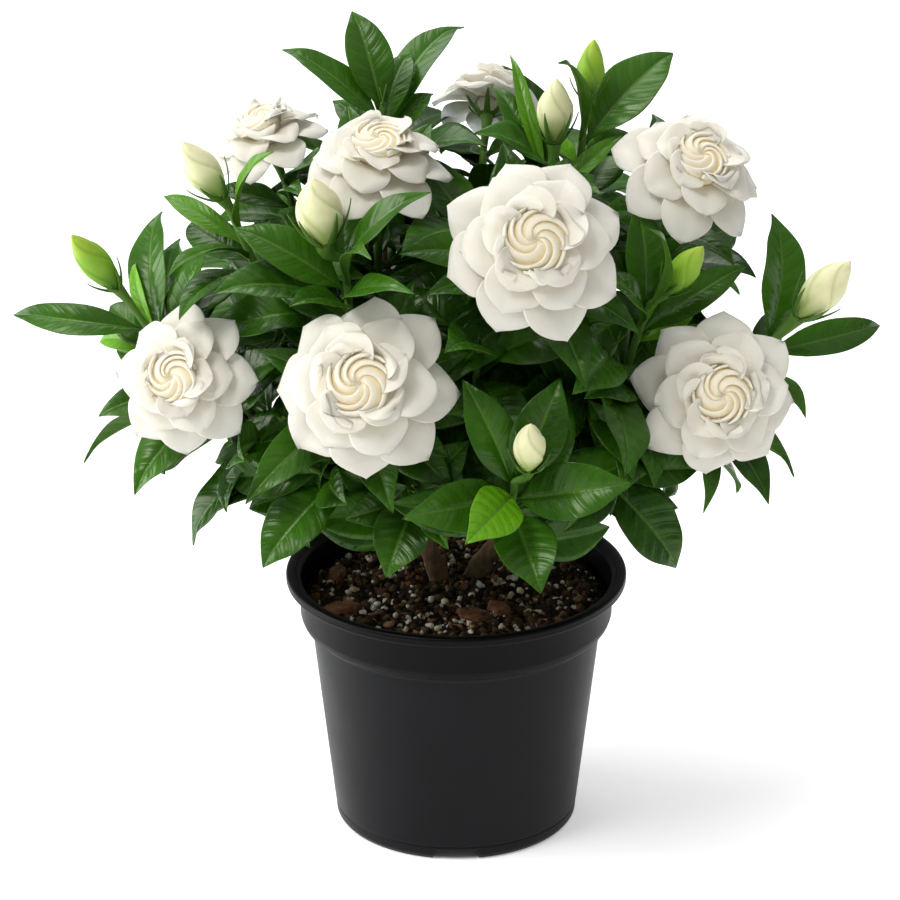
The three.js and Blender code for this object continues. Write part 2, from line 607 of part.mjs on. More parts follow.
const BROAD_LEAF = 25;
const LEAF_STATIONS = [0.42, 0.78];
const BROAD_STATIONS = [0.34, 0.62, 0.86];
const LEAF_START = 0.08;

// Half the leaf's width over its length: a short stalk, an ellipse and a drawn-out tip.
function leafWidth(s) {
  if (s <= PETIOLE) return 0.06;
  return Math.sin(Math.PI * ((s - PETIOLE) / (1 - PETIOLE)) ** 0.9) ** 0.85;
}

// A leaf's middle surface as a function: s runs from the stem to the tip, t from edge to edge.
function leafSurface(leaf, margin = 0) {
  const chord = leaf.tip.clone().sub(leaf.root);
  const along = chord.clone().normalize();
  const up = square(leaf.up, along);
  const tip = leaf.tip.clone().addScaledVector(along, margin);
  const pull = leaf.root.clone().addScaledVector(chord, 0.5)
    .addScaledVector(up, 2 * LEAF_ARCH * chord.length());
  return (s, t) => {
    const tangent = bezierTangent(leaf.root, pull, tip, s);
    const out = square(up, tangent);
    const half = s === 1 ? 0 : (leaf.width / 2) * leafWidth(s) + margin;
    const at = bezier(leaf.root, pull, tip, s)
      .addScaledVector(across(tangent, out), t * half)
      .addScaledVector(out, Math.abs(t) * half * LEAF_FOLD);
    return { at, out };
  };
}

const stationsOf = (leaf) => (leaf.width >= BROAD_LEAF ? BROAD_STATIONS : LEAF_STATIONS);

// The blade alone, to try for room, from a little way out of the facet that it grows from.
function leafSolid(leaf, margin) {
  const surface = leafSurface(leaf, margin);
  const stations = stationsOf(leaf);
  const tangent = leaf.tip.clone().sub(leaf.root).normalize();
  const start = [-1, 0, 1].map((t) => {
    const { at, out } = surface(stations[0], t);
    const facet = leaf.root.clone().addScaledVector(across(tangent, out), t * (STEM_RADIUS + margin));
    return { at: facet.lerp(at, LEAF_START / stations[0]), out };
  });
  return bladeFrom([start, ...rowsOf(surface, stations)], LEAF_THICKNESS + 2 * margin);
}

// A leaf swung sideways and lifted about its root, in degrees, and shortened.
function bent(leaf, [swing, lift, size]) {
  const chord = leaf.tip.clone().sub(leaf.root);
  const up = square(leaf.up, chord.clone().normalize());
  const side = across(chord.clone().normalize(), up);
  const turned = chord.multiplyScalar(size)
    .applyAxisAngle(up, radians(swing))
    .applyAxisAngle(side, radians(-lift));
  return { ...leaf, tip: leaf.root.clone().add(turned), width: leaf.width * size };
}

// Bends in the order in which they are tried: the smallest first.
const BENDS = [1, 0.86, 0.72, 0.58, 0.45].flatMap((size) => [0, 8, 16, 25, 36]
  .flatMap((step) => (step === 0 ? [[0, 0, size]] : [[0, step, size], [step, 0, size], [-step, 0, size],
    [0, -step, size], [step, step, size], [-step, step, size], [step, -step, size],
    [-step, -step, size]])));

const taken = [];

function take(solid) {
  taken.push({ solid, box: solid.boundingBox() });
}

const apart = (a, b) => [0, 1, 2].some((k) => a.max[k] < b.min[k] || b.max[k] < a.min[k]);

const isClear = (solid) => {
  const box = solid.boundingBox();
  return taken.every((other) => apart(box, other.box) || solid.intersect(other.solid).isEmpty());
};

// The first bend of a leaf that keeps it off every other piece, or none if there is no room.
function settled(leaf) {
  const bend = BENDS.find((way) => isClear(leafSolid(bent(leaf, way), CLEARANCE)));
  return bend && bent(leaf, bend);
}

const bloomOf = (name) => BLOOMS.find((bloom) => bloom.name === name);
const budOf = (name) => BUDS.find((bud) => bud.name === name);

// Where a leafy stem ends: at its node, or just under its flower or bud.
function stemEnd(shoot) {
  if (shoot.bloom) {
    const { at, faces, radius } = bloomOf(shoot.bloom);
    const out = fromArray(faces).normalize();
    const foot = BLOOM_FOOT * (radius / WHORLS[0].tip[0]) - GAP;
    return { at: fromArray(at).addScaledVector(out, foot), out, radius: CALYX_RADIUS };
  }
  if (shoot.bud) {
    const { foot, tip, radius } = budOf(shoot.bud);
    const out = fromArray(tip).sub(fromArray(foot)).normalize();
    return { at: fromArray(foot).addScaledVector(out, -GAP), out, radius: radius * 0.44 };
  }
  return null;
}

const STEM_LENGTH = 34;
const STEM_SAG = 8;

// The stem's rings from its foot to its end: middle, direction, radius and number of corners.
// Each leaf, lowest first, leaves from a facet that is turned to it.
function stemRings(shoot) {
  const { base, node, axis, leaves } = shoot;
  const pull = node.clone().addScaledVector(axis, -STEM_LENGTH / 2);
  const ringAt = (s, more) => ({
    at: bezier(base, pull, node, s), out: bezierTangent(base, pull, node, s), radius: STEM_RADIUS, ...more,
  });
  const rings = [ringAt(0, { sides: 3 })];
  [...leaves].reverse().forEach((leaf) => rings.push(ringAt(leaf.along, { sides: 3, leaf })));
  rings.push({ at: node.clone().addScaledVector(axis, STEM_TIP), out: axis, radius: STEM_RADIUS, sides: 3 });
  const end = stemEnd(shoot);
  if (end) {
    const reach = end.at.distanceTo(node) - STEM_TIP;
    rings.push({ ...end, at: end.at.clone().addScaledVector(end.out, -0.45 * reach),
      radius: end.radius * 0.6, sides: CALYX_SIDES });
    rings.push({ ...end, sides: CALYX_SIDES });
  }
  return rings;
}

// One skin for a leafy stem. Without its leaves it is the bare stem.
function makeShoot(shoot, withLeaves) {
  const points = [];
  const faces = [];
  const addPoint = (point) => points.push(point) - 1;
  let side = anySide(shoot.axis);
  let below = null;
  let turn = 0;
  stemRings(shoot).forEach((ring, k) => {
    side = square(side, ring.out);
    const other = ring.out.clone().cross(side);
    if (ring.leaf) {
      const way = ring.leaf.tip.clone().sub(ring.leaf.root);
      turn = Math.atan2(way.dot(other), way.dot(side));
    }
    const corner = (i, shift) => {
      const angle = wrapped(turn + ((2 * i - 1) / ring.sides) * Math.PI);
      return [angle, addPoint(ring.at.clone()
        .addScaledVector(side, ring.radius * Math.cos(angle))
        .addScaledVector(other, ring.radius * Math.sin(angle))
        .addScaledVector(ring.out, shift))];
    };
    const ringOf = (shift) => Array.from({ length: ring.sides }, (_, i) => corner(i, shift));
    const lower = ringOf(ring.leaf ? -STALK_THICKNESS / 2 : 0);
    if (below) faces.push(...stitched(sorted(below), sorted(lower)));
    if (k === 0) faces.push([lower[0][1], lower[2][1], lower[1][1]]);
    below = lower;
    if (!ring.leaf) return;
    const upper = ringOf(STALK_THICKNESS / 2);
    for (let i = withLeaves ? 1 : 0; i < 3; i++) {
      const [a, b] = [lower[i][1], lower[(i + 1) % 3][1]];
      const [c, d] = [upper[i][1], upper[(i + 1) % 3][1]];
      faces.push([a, b, d], [a, d, c]);
    }
    if (withLeaves) {
      const rows = rowsOf(leafSurface(ring.leaf), stationsOf(ring.leaf));
      drawBlade(rows, LEAF_THICKNESS, [upper[1][1], upper[0][1]], [lower[1][1], lower[0][1]], addPoint, faces);
    }
    below = upper;
  });
  const last = sorted(below).map(([, index]) => index);
  for (let i = 1; i < last.length - 1; i++) faces.push([last[0], last[i], last[i + 1]]);
  return solidFrom(points, faces);
}

// A shoot from the plan, with its leaves' roots one below the other on the stem.
function plannedShoot(plan) {
  const node = fromArray(plan.node);
  const axis = fromArray(plan.axis).normalize();
  const base = stemBase(node, axis);
  const leaves = steepFirst(plan.leaves, node, axis).map(([x, y, z, width], k) => {
    const tip = v(x, y, z);
    const light = sunny(tip).add(fromArray(VIEW_SIDE));
    return leafOn({ node, axis, base }, k, plan.leaves.length, tip, light, width);
  });
  return { ...plan, node, axis, leaves, base };
}

// The leaves that rise most steeply sit highest on the stem.
function steepFirst(leaves, node, axis) {
  const rise = ([x, y, z]) => v(x, y, z).sub(node).normalize().dot(axis);
  return [...leaves].sort((a, b) => rise(b) - rise(a));
}

// A leaf on a stem: its upper side faces up the stem and to the light, as far as its stalk can twist.
function leafOn({ node, axis, base }, k, count, tip, light, width) {
  const along = 1 - (FIRST_LEAF + k * Math.min(LEAF_SPACING, LEAF_STRETCH / count)) / STEM_LENGTH;
  const pull = node.clone().addScaledVector(axis, -STEM_LENGTH / 2);
  const root = bezier(base, pull, node, along);
  const stem = bezierTangent(base, pull, node, along);
  const way = tip.clone().sub(root).normalize();
  const level = across(way, stem);
  let up = stem.clone().multiplyScalar(0.5).add(light);
  for (let share = 0.5; across(way, up).dot(level) < MOST_TWIST; share += 0.25) {
    up = light.clone().addScaledVector(stem, 1 + share);
  }
  return { root, tip, up, width, along };
}

// The way out of the crown at a place, where a leaf's upper side tends to face.
const sunny = (place) => place.clone().sub(fromArray(CROWN_MIDDLE)).normalize();

const stemBase = (node, axis) => node.clone().addScaledVector(axis, -STEM_LENGTH).add(v(0, 0, -STEM_SAG));

// A shoot by rule: it leans out from the middle, and each leaf turns on from the one before.
function fillShoot({ name, bearing, reach, height, count }) {
  const outward = v(Math.cos(radians(bearing)), Math.sin(radians(bearing)), 0);
  const node = outward.clone().multiplyScalar(reach).add(v(0, 0, height));
  const rise = (height - 160) / 150;
  const axis = outward.clone().multiplyScalar(1 - 0.6 * rise).add(v(0, 0, 0.35 + 0.8 * rise)).normalize();
  const { side, other } = faceAxes(axis.toArray());
  const spin = random(0, 360);
  const base = stemBase(node, axis);
  const leaves = Array.from({ length: count }, (_, k) => {
    const turn = radians(spin + TURN * k);
    const angle = radians(FILL_LEAF_ANGLE + 6 * k + random(-12, 0));
    const length = FILL_LEAF_LENGTH * random(0.85, 1.12);
    const out = side.clone().multiplyScalar(Math.cos(turn)).addScaledVector(other, Math.sin(turn));
    const tip = node.clone()
      .addScaledVector(axis, length * Math.cos(angle) - LEAF_SPACING * k)
      .addScaledVector(out, length * Math.sin(angle));
    return leafOn({ node, axis, base }, k, count, tip, sunny(tip), length * FILL_LEAF_ASPECT);
  });
  return { name, node, axis, leaves, base };
}

// ---------------------------------------------------------------- wood

// The twig that carries a shoot leaves the nearest limb and arrives along the shoot's own stem.
function makeWood(shoots) {
  const parts = TRUNKS.map(({ foot, points, radius }) => tubeAlong(
    [fromArray(foot), ...points.map(fromArray)],
    [radius * 1.15, radius * 1.1, radius * 0.9, radius * 0.75],
    6,
  ));
  const forks = [];
  LIMBS.forEach(({ trunk, from, points }) => {
    const [low, middle, high] = TRUNKS[trunk].points.map(fromArray);
    const start = from < 0.5 ? low.lerp(middle, 2 * from) : middle.lerp(high, 2 * from - 1);
    const path = [start, ...points.map(fromArray)];
    parts.push(tubeAlong(path, [LIMB_RADIUS * 1.15, LIMB_RADIUS, LIMB_RADIUS * 0.8], LIMB_SIDES));
    for (let k = 0; k <= FORKS; k++) {
      const along = 0.3 + (1.7 * k) / FORKS;
      forks.push(along < 1 ? path[0].clone().lerp(path[1], along)
        : path[1].clone().lerp(path[2], along - 1));
    }
  });
  shoots.forEach(({ base, node, axis }) => {
    const pull = node.clone().addScaledVector(axis, -STEM_LENGTH / 2);
    const out = bezierTangent(base, pull, node, 0);
    const end = base.clone().addScaledVector(out, -GAP);
    const from = forks.reduce((best, at) => (at.distanceTo(end) < best.distanceTo(end) ? at : best));
    forks.splice(forks.indexOf(from), 1);
    const bend = end.clone().addScaledVector(out, -0.45 * from.distanceTo(end));
    const points = [from, bezier(from, bend, end, 0.5), end];
    parts.push(tubeAlong(points, [TWIG_RADIUS * 1.2, TWIG_RADIUS, TWIG_RADIUS], TWIG_SIDES, out));
  });
  return wasm.Manifold.union(parts);
}

// ---------------------------------------------------------------- bark chips

function makeChip({ at, length, turn }, soil) {
  const outline = [[-0.5, -0.1], [-0.2, -0.28], [0.3, -0.22], [0.5, 0.05], [0.2, 0.26], [-0.25, 0.2]];
  const geometry = prism(outline.map(([x, y]) => [x * length, y * length]), 3.2);
  geometry.rotateZ(radians(turn));
  const flat = solidOf(geometry);
  const chipAt = (height) => flat.translate([at[0], at[1], height]);
  let height = SOIL_HEIGHT - 4;
  while (!chipAt(height).intersect(soil).isEmpty()) height += 0.2;
  return chipAt(height);
}

// ---------------------------------------------------------------- the plant in its pot

const plant = new THREE.Group();
plant.name = 'potted_gardenia';

function add(name, solid, finish) {
  plant.add(meshOf(name, solid, finish));
}

const shoots = [...SHOOTS.map(plannedShoot), ...FILL_SHOOTS.map(fillShoot)];
const pot = makePot();
const wood = makeWood(shoots);
const holes = wasm.Manifold.union(TRUNKS.map(({ foot, points, radius }) => {
  const path = [fromArray(foot).add(v(0, 0, -2 * GAP)), ...points.slice(0, 2).map(fromArray)];
  return tubeAlong(path, path.map(() => radius * 1.15 + HOLE_MARGIN), 8);
}));
const soil = makeSoil().subtract(holes);
take(pot);
take(soil);
take(wood);
add('pot', pot, COLOURS.pot);
add('soil', soil, COLOURS.soil);
add('wood', wood, COLOURS.bark);

CHIPS.forEach((chip) => {
  const solid = makeChip(chip, soil);
  take(solid);
  add(`chip_${chip.name}`, solid, COLOURS.chip);
});
BLOOMS.forEach((bloom) => {
  const solid = makeBloom(bloom);
  take(solid);
  add(`bloom_${bloom.name}`, solid, COLOURS.petal);
});
BUDS.forEach((bud) => {
  const solid = makeBud(bud);
  take(solid);
  add(`bud_${bud.name}`, solid, bud.green ? COLOURS.greenBud : COLOURS.creamBud);
});
shoots.forEach((shoot) => take(makeShoot(shoot, false)));
shoots.forEach((shoot) => {
  shoot.leaves = shoot.leaves.map((leaf) => {
    const placed = settled(leaf);
    if (placed) take(leafSolid(placed, 0));
    return placed;
  }).filter(Boolean);
  add(`shoot_${shoot.name}`, makeShoot(shoot, true), COLOURS.leaf);
});

export default plant;
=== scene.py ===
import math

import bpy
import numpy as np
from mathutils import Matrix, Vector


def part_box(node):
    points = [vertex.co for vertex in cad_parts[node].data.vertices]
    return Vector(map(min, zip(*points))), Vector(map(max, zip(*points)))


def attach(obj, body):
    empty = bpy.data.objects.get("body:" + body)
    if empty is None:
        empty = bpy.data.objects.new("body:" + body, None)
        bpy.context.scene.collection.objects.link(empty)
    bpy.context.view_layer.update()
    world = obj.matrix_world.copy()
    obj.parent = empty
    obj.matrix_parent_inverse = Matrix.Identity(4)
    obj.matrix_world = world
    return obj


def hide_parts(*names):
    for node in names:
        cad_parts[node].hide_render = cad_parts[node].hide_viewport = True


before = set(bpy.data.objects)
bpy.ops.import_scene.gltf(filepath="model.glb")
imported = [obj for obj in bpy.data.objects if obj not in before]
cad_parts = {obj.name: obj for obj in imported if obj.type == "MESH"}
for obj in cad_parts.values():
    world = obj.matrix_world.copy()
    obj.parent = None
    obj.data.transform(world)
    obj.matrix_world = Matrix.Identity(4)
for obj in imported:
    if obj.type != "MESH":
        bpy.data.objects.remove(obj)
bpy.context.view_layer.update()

# The looks of a gardenia in flower in its nursery pot.
# Lengths are in millimetres until a mesh is made. The origin is the middle of the pot's foot,
# +Z is up and -Y is the plant's front.

MM = 0.001
TURN = 2 * math.pi
NO_GRAIN = (0.0, 0.0)

# ---------------------------------------------------------------- the plant's plan, as in the part

POT_HEIGHT = 129
RIM_RADIUS = 82.5
RIM_DEPTH = 5
SHOULDER_HEIGHT = 101.4
FOOT_RADIUS = 57.6
WALL = 1.5
FLOOR_HEIGHT = 6
NOTCH_WIDTH = 23
NOTCH_TOP_WIDTH = 19
NOTCH_HEIGHT = 5
DRAIN_RADIUS = 4
DRAIN_REACH = 34
SOIL_HEIGHT = 117
GAP = 0.3

LEAF_THICKNESS = 0.7
LEAF_ARCH = 0.1
LEAF_FOLD = 0.24
STEM_TIP = 2
FIRST_LEAF = 2
LEAF_STRETCH = 24
MOST_TWIST = 0.6
PETIOLE = 0.08
CROWN_MIDDLE = np.array([0, 0, 200.0])
VIEW_SIDE = np.array([0, -0.75, 0.45])
LEAF_SPACING = 4.5
STEM_RADIUS = 2
CALYX_RADIUS = 3.6
STEM_LENGTH = 34
STEM_SAG = 8
FILL_LEAF_LENGTH = 63
FILL_LEAF_ASPECT = 0.42
FILL_LEAF_ANGLE = 68
GOLDEN_TURN = 137.5
SEED = 577
LIMB_RADIUS = 3
TWIG_RADIUS = 2.1
FORKS = 7
BLOOM_FOOT = -10
BLOOM_TURN = 1.1
BLOOM_SCALE_RADIUS = 45

# Blooms: middle of the petals, the way they face, radius, petals in the whorls from the outside in.
BLOOMS = {
    "front_left": ([-43, -95, 262], [-0.1, -0.88, 0.46], 45, [8, 6, 5, 4]),
    "front_right": ([35, -90, 329], [0.05, -0.86, 0.5], 45, [8, 6, 5, 4]),
    "right": ([121, -62, 245], [0.15, -0.92, 0.36], 41, [8, 6, 5, 4]),
    "left": ([-127, -62, 253], [-0.35, -0.85, 0.38], 37, [8, 6, 5, 4]),
    "upper_right": ([110, -10, 335], [0.3, -0.5, 0.82], 39, [7, 6, 5, 3]),
    "upper_middle": ([-37, -22, 344], [0, -0.28, 0.96], 38, [7, 6, 5, 3]),
    "upper_left": ([-90, 30, 338], [-0.35, -0.15, 0.92], 32, [7, 6, 5, 3]),
    "top_back": ([15, 60, 347], [0.05, 0.75, 0.66], 28, [7, 5, 4, 3]),
}

# Buds: foot, tip, radius and whether they still are green.
BUDS = {
    "left": ([-160, -32, 288], [-179, -40, 316], 7.5, True),
    "upper_left": ([-111, -10, 325], [-128, -12, 352], 8.5, False),
    "middle_left": ([-61, -60, 321], [-66, -62, 352], 11.5, False),
    "top_right": ([46, 8, 346], [47, 12, 375], 8.8, False),
    "top": ([62, 24, 362], [65, 28, 389], 6.8, True),
    "right_middle": ([99, -45, 291], [114, -55, 316], 7, True),
    "right": ([162, -28, 272], [184, -35, 301], 9.5, False),
    "front": ([33, -108, 228], [34, -118, 253], 7.8, False),
}

# Leafy stems: node, the way the stem points, each leaf's tip and width. A stem is named for the
# flower or bud that it ends in, if it has one.
SHOOTS = {
    "front_left": ([-40, -65, 246], [-0.1, -0.82, 0.56],
        [[-98, -108, 210, 23], [-30, -107, 205, 23], [8, -85, 242, 20], [6, -71, 270, 19],
         [-20, -55, 300, 20], [-93, -62, 268, 17]]),
    "front_right": ([33, -61, 312], [0.05, -0.75, 0.66],
        [[-27, -72, 320, 20], [-14, -83, 304, 18], [60, -109, 268, 24], [84, -92, 289, 21],
         [48, -46, 351, 18]]),
    "right_flower": ([116, -33, 233], [0.3, -0.8, 0.5],
        [[117, -78, 192, 12], [148, -67, 192, 20], [79, -64, 222, 22], [161, -33, 230, 18]]),
    "left_flower": ([-116, -36, 241], [-0.5, -0.7, 0.5],
        [[-153, -60, 194, 27], [-171, -32, 222, 17], [-159, -17, 248, 13], [-101, -33, 281, 18]]),
    "upper_right": ([100, 7, 308], [0.3, -0.3, 0.9],
        [[67, -27, 322, 18], [131, -22, 296, 18], [95, 57, 344, 20]]),
    "upper_middle": ([-37, -6, 319], [0, -0.35, 0.93],
        [[-73, -15, 325, 18], [-8, -41, 327, 18], [-12, 26, 350, 20], [-52, 35, 356, 18]]),
    "upper_left": ([-81, 34, 313], [-0.25, 0, 0.95],
        [[-76, -21, 337, 11], [-117, 40, 309, 15], [-59, -13, 343, 17]]),
    "top_back": ([13, 48, 325], [0.05, 0.4, 0.9],
        [[7, 107, 301, 15], [41, 84, 314, 15], [-8, 87, 313, 16]]),
    "left_bud": ([-145, -30, 266], [-0.64, -0.13, 0.76],
        [[-212, -8, 265, 16], [-142, 25, 306, 22], [-130, -2, 281, 15], [-153, 2, 289, 7],
         [-172, 2, 247, 12]]),
    "upper_left_bud": ([-102, -12, 307], [-0.42, -0.05, 0.91],
        [[-140, 17, 316, 11], [-129, 24, 299, 20], [-87, -52, 363, 14], [-129, -74, 290, 22],
         [-134, -63, 307, 13]]),
    "middle_left_bud": ([-52, -55, 308], [-0.1, -0.1, 0.95],
        [[-104, -46, 323, 22], [-55, -17, 344, 19], [-14, -95, 359, 18], [-40, -120, 337, 10],
         [-76, -90, 302, 18], [-21, -124, 322, 15]]),
    "top_right_bud": ([43, 5, 326], [0, -0.05, 1],
        [[17, 39, 364, 16], [26, 48, 377, 8], [79, 25, 344, 10], [67, -33, 336, 15], [11, -40, 334, 15]]),
    "top_bud": ([60, 22, 344], [0.1, 0, 1],
        [[49, -22, 397, 11], [104, 56, 375, 27], [86, 39, 337, 17], [34, 40, 341, 12]]),
    "right_middle_bud": ([90, -42, 281], [0.32, -0.27, 0.91],
        [[137, -24, 296, 17], [84, -24, 328, 23], [66, -90, 314, 18], [114, -16, 274, 17],
         [91, -86, 338, 10]]),
    "right_bud": ([147, -25, 255], [0.64, -0.13, 0.76],
        [[151, 6, 311, 27], [131, 1, 259, 22], [205, 14, 251, 17], [165, -51, 230, 14],
         [130, -71, 274, 12]]),
    "front_bud": ([27, -100, 216], [0.05, -0.62, 0.78],
        [[81, -112, 221, 27], [5, -140, 204, 25], [39, -131, 175, 29], [-24, -131, 212, 25],
         [3, -92, 265, 22], [48, -92, 266, 25]]),
    "crown": ([-35, 45, 347], [0, 0.05, 1],
        [[-83, 58, 376, 18], [-50, 72, 390, 22], [4, 118, 369, 20], [-22, 84, 365, 18],
         [-11, 74, 348, 16], [-60, 75, 344, 16]]),
    "low_left": ([-66, -60, 206], [-0.62, -0.62, 0.49],
        [[-92, -76, 163, 28], [-111, -42, 194, 23], [-67, -67, 177, 10], [-52, -89, 201, 22],
         [-83, -45, 225, 20]]),
    "low_middle": ([-19, -75, 202], [-0.17, -0.87, 0.46],
        [[-33, -99, 168, 27], [-52, -82, 190, 20], [-4, -96, 181, 12], [6, -77, 228, 18]]),
    "low_right": ([76, -60, 206], [0.49, -0.73, 0.49],
        [[106, -51, 151, 29], [91, -45, 180, 25], [51, -98, 191, 20], [115, -54, 204, 18],
         [62, -63, 243, 20]]),
}

# The rest of the crown: bearing round the plant, distance from the middle, height, number of leaves.
FILL_SHOOTS = {
    "back_right_low": (12, 122, 205, 5),
    "back_right": (42, 128, 255, 5),
    "back_middle_right": (68, 128, 205, 5),
    "back_middle": (92, 118, 262, 5),
    "back_middle_left": (118, 128, 208, 5),
    "back_left": (142, 126, 258, 5),
    "back_left_low": (168, 122, 205, 5),
    "back_top_right": (55, 82, 308, 5),
    "back_top_left": (125, 84, 310, 5),
    "inner_left": (215, 70, 285, 4),
    "inner_front": (280, 60, 264, 5),
    "inner_middle": (300, 22, 312, 5),
    "inner_back": (95, 20, 300, 5),
    "inner_right": (325, 88, 262, 5),
    "inner_low_left": (200, 96, 212, 4),
    "inner_low_right": (338, 64, 232, 4),
}

# Main stems, from below the soil, then the limbs that leave each of them.
TRUNKS = [
    ([[-1, 12, 74], [-8, 11, 117], [-15, 4, 142], [-22, 2, 162]], 4.6),
    ([[1, 12, 74], [8, 13, 117], [20, 7, 139], [29, 6, 158]], 4.8),
]
LIMBS = [
    (0, 0.5, [[-50, -18, 185], [-88, -14, 205]]),
    (0, 0.62, [[-38, -24, 188], [-42, -30, 218]]),
    (0, 1, [[-30, 4, 220], [-42, 8, 262]]),
    (0, 0.86, [[-48, 34, 200], [-84, 48, 232]]),
    (0, 0.74, [[-26, 40, 190], [-32, 72, 222]]),
    (1, 0.5, [[58, -10, 180], [92, -16, 200]]),
    (1, 0.62, [[30, -26, 178], [34, -38, 215]]),
    (1, 1, [[36, 8, 220], [46, 8, 262]]),
    (1, 0.86, [[57, 35, 194], [86, 44, 230]]),
    (1, 0.74, [[32, 44, 190], [36, 74, 225]]),
]

# Bark chips on the soil: place, length, turn in degrees.
CHIPS = {
    "left": ([-55, -24], 21, 8),
    "front": ([-2, -66], 16, -12),
    "middle": ([9, -34], 21, -38),
    "back_left": ([-58, 16], 17, 78),
    "right": ([21, -28], 18, -65),
}

# ---------------------------------------------------------------- vectors and curves


def vec(*xyz):
    return np.array(xyz, float)


def unit(a):
    return a / np.linalg.norm(a, axis=-1, keepdims=True)


def square(out, tangent):
    """The part of out that is square to tangent."""
    return unit(out - tangent * np.sum(out * tangent, axis=-1, keepdims=True))


def across(tangent, out):
    return unit(np.cross(tangent, out))


def bezier(a, b, c, s):
    s = np.asarray(s, float)[..., None]
    return (1 - s) ** 2 * a + 2 * s * (1 - s) * b + s**2 * c


def bezier_tangent(a, b, c, s):
    s = np.asarray(s, float)[..., None]
    return unit((1 - s) * (b - a) + s * (c - b))


def turned(v, axis, degrees):
    """v turned about a unit axis."""
    angle = math.radians(degrees)
    return (v * math.cos(angle) + np.cross(axis, v) * math.sin(angle)
            + axis * np.dot(axis, v) * (1 - math.cos(angle)))


def face_axes(direction):
    out = unit(vec(*direction))
    side = square(vec(0, 0, 1), out)
    return out, side, np.cross(out, side)


def spoke(side, other, turn):
    """The direction at an angle round an axis that side and other are square to."""
    return side * math.cos(turn) + other * math.sin(turn)


def smooth(low, high, x):
    x = np.clip((np.asarray(x, float) - low) / (high - low), 0, 1)
    return x * x * (3 - 2 * x)


def spline(points, radii, steps):
    """A smooth curve through points, with its radius, steps to a span."""
    p = np.array(points, float)
    r = np.array(radii, float)
    p = np.vstack([2 * p[0] - p[1], p, 2 * p[-1] - p[-2]])
    r = np.concatenate([[r[0]], r, [r[-1]]])
    places, sizes = [], []
    for k in range(1, len(p) - 2):
        for t in np.arange(steps) / steps:
            w = 0.5 * vec(-t + 2 * t**2 - t**3, 2 - 5 * t**2 + 3 * t**3,
                          t + 4 * t**2 - 3 * t**3, -t**2 + t**3)
            places.append(w @ p[k - 1:k + 3])
            sizes.append(w @ r[k - 1:k + 3])
    places.append(p[-2])
    sizes.append(r[-2])
    return np.array(places), np.array(sizes)


# ---------------------------------------------------------------- meshes


def in_scene(name, data):
    """A new object in the scene."""
    thing = bpy.data.objects.new(name, data)
    bpy.context.scene.collection.objects.link(thing)
    return thing


def with_settings(thing, **settings):
    for key, value in settings.items():
        setattr(thing, key, value)
    return thing


class Skin:
    """Gathers one piece's points, faces, grain coordinates, tones and materials."""

    def __init__(self):
        self.points, self.grain, self.tone = [], [], []
        self.quads, self.quad_slots = [], []
        self.caps, self.cap_slots = [], []
        self.count = 0

    def put(self, points, grain, tone):
        shape = points.shape[:-1]
        self.points.append(points.reshape(-1, 3))
        self.grain.append(np.stack([np.broadcast_to(part, shape).reshape(-1) for part in grain], -1))
        self.tone.append(np.broadcast_to(tone, shape).reshape(-1))
        index = self.count + np.arange(np.prod(shape)).reshape(shape)
        self.count += index.size
        return index

    def tube(self, rings, grain, tone, slots=0, ends=(True, True)):
        """Closed rings of points, each joined to the next. ends says which end rings are capped."""
        index = self.put(rings, grain, tone)
        after = np.roll(index, -1, axis=1)
        quads = np.stack([index[:-1], after[:-1], after[1:], index[1:]], -1).reshape(-1, 4)
        slots = np.broadcast_to(slots, index[:-1].shape).reshape(-1)
        self.quads.append(quads)
        self.quad_slots.append(slots)
        if ends[0]:
            self.caps.append(index[0][::-1])
            self.cap_slots.append(slots[0])
        if ends[1]:
            self.caps.append(index[-1])
            self.cap_slots.append(slots[-1])

    def shell(self, points, quads, slot=0, tone=0.0):
        """A ready mesh of quads."""
        index = self.put(points, NO_GRAIN, tone)
        self.quads.append(index[quads])
        self.quad_slots.append(np.full(len(quads), slot))

    def build(self, name, materials, slot, replaced=()):
        points = np.concatenate(self.points) * MM
        grain = np.concatenate(self.grain)
        quads = np.concatenate(self.quads)
        corners = np.concatenate([quads.ravel(), *self.caps]).astype(np.int32)
        sizes = np.array([4] * len(quads) + [len(cap) for cap in self.caps])
        slots = np.concatenate([*self.quad_slots, np.array(self.cap_slots, int)]).astype(np.int32)
        mesh = bpy.data.meshes.new(name)
        mesh.vertices.add(len(points))
        mesh.vertices.foreach_set("co", points.astype(np.float32).ravel())
        mesh.loops.add(len(corners))
        mesh.loops.foreach_set("vertex_index", corners)
        mesh.polygons.add(len(sizes))
        mesh.polygons.foreach_set("loop_start", (np.cumsum(sizes) - sizes).astype(np.int32))
        mesh.polygons.foreach_set("material_index", slots)
        mesh.polygons.foreach_set("use_smooth", np.ones(len(sizes), bool))
        mesh.uv_layers.new(name="grain").uv.foreach_set("vector", grain[corners].astype(np.float32).ravel())
        tone = mesh.attributes.new("tone", "FLOAT", "POINT")
        tone.data.foreach_set("value", np.concatenate(self.tone).astype(np.float32))
        mesh.update(calc_edges=True)
        mesh.validate()
        piece = in_scene(name, mesh)
        for material in materials:
            mesh.materials.append(material)
        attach(piece, "root")
        if replaced:
            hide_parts(*replaced)
        return piece


def ring(radius, height, angles):
    """Points round the pot's axis, at one height or at one for each."""
    height = np.broadcast_to(height, angles.shape)
    return np.stack([radius * np.cos(angles), radius * np.sin(angles), height], -1)


def there_and_back(one, other):
    """Rings round a thin sheet: over one face and back over the other."""
    return np.concatenate([one, other[:, ::-1]], axis=1)


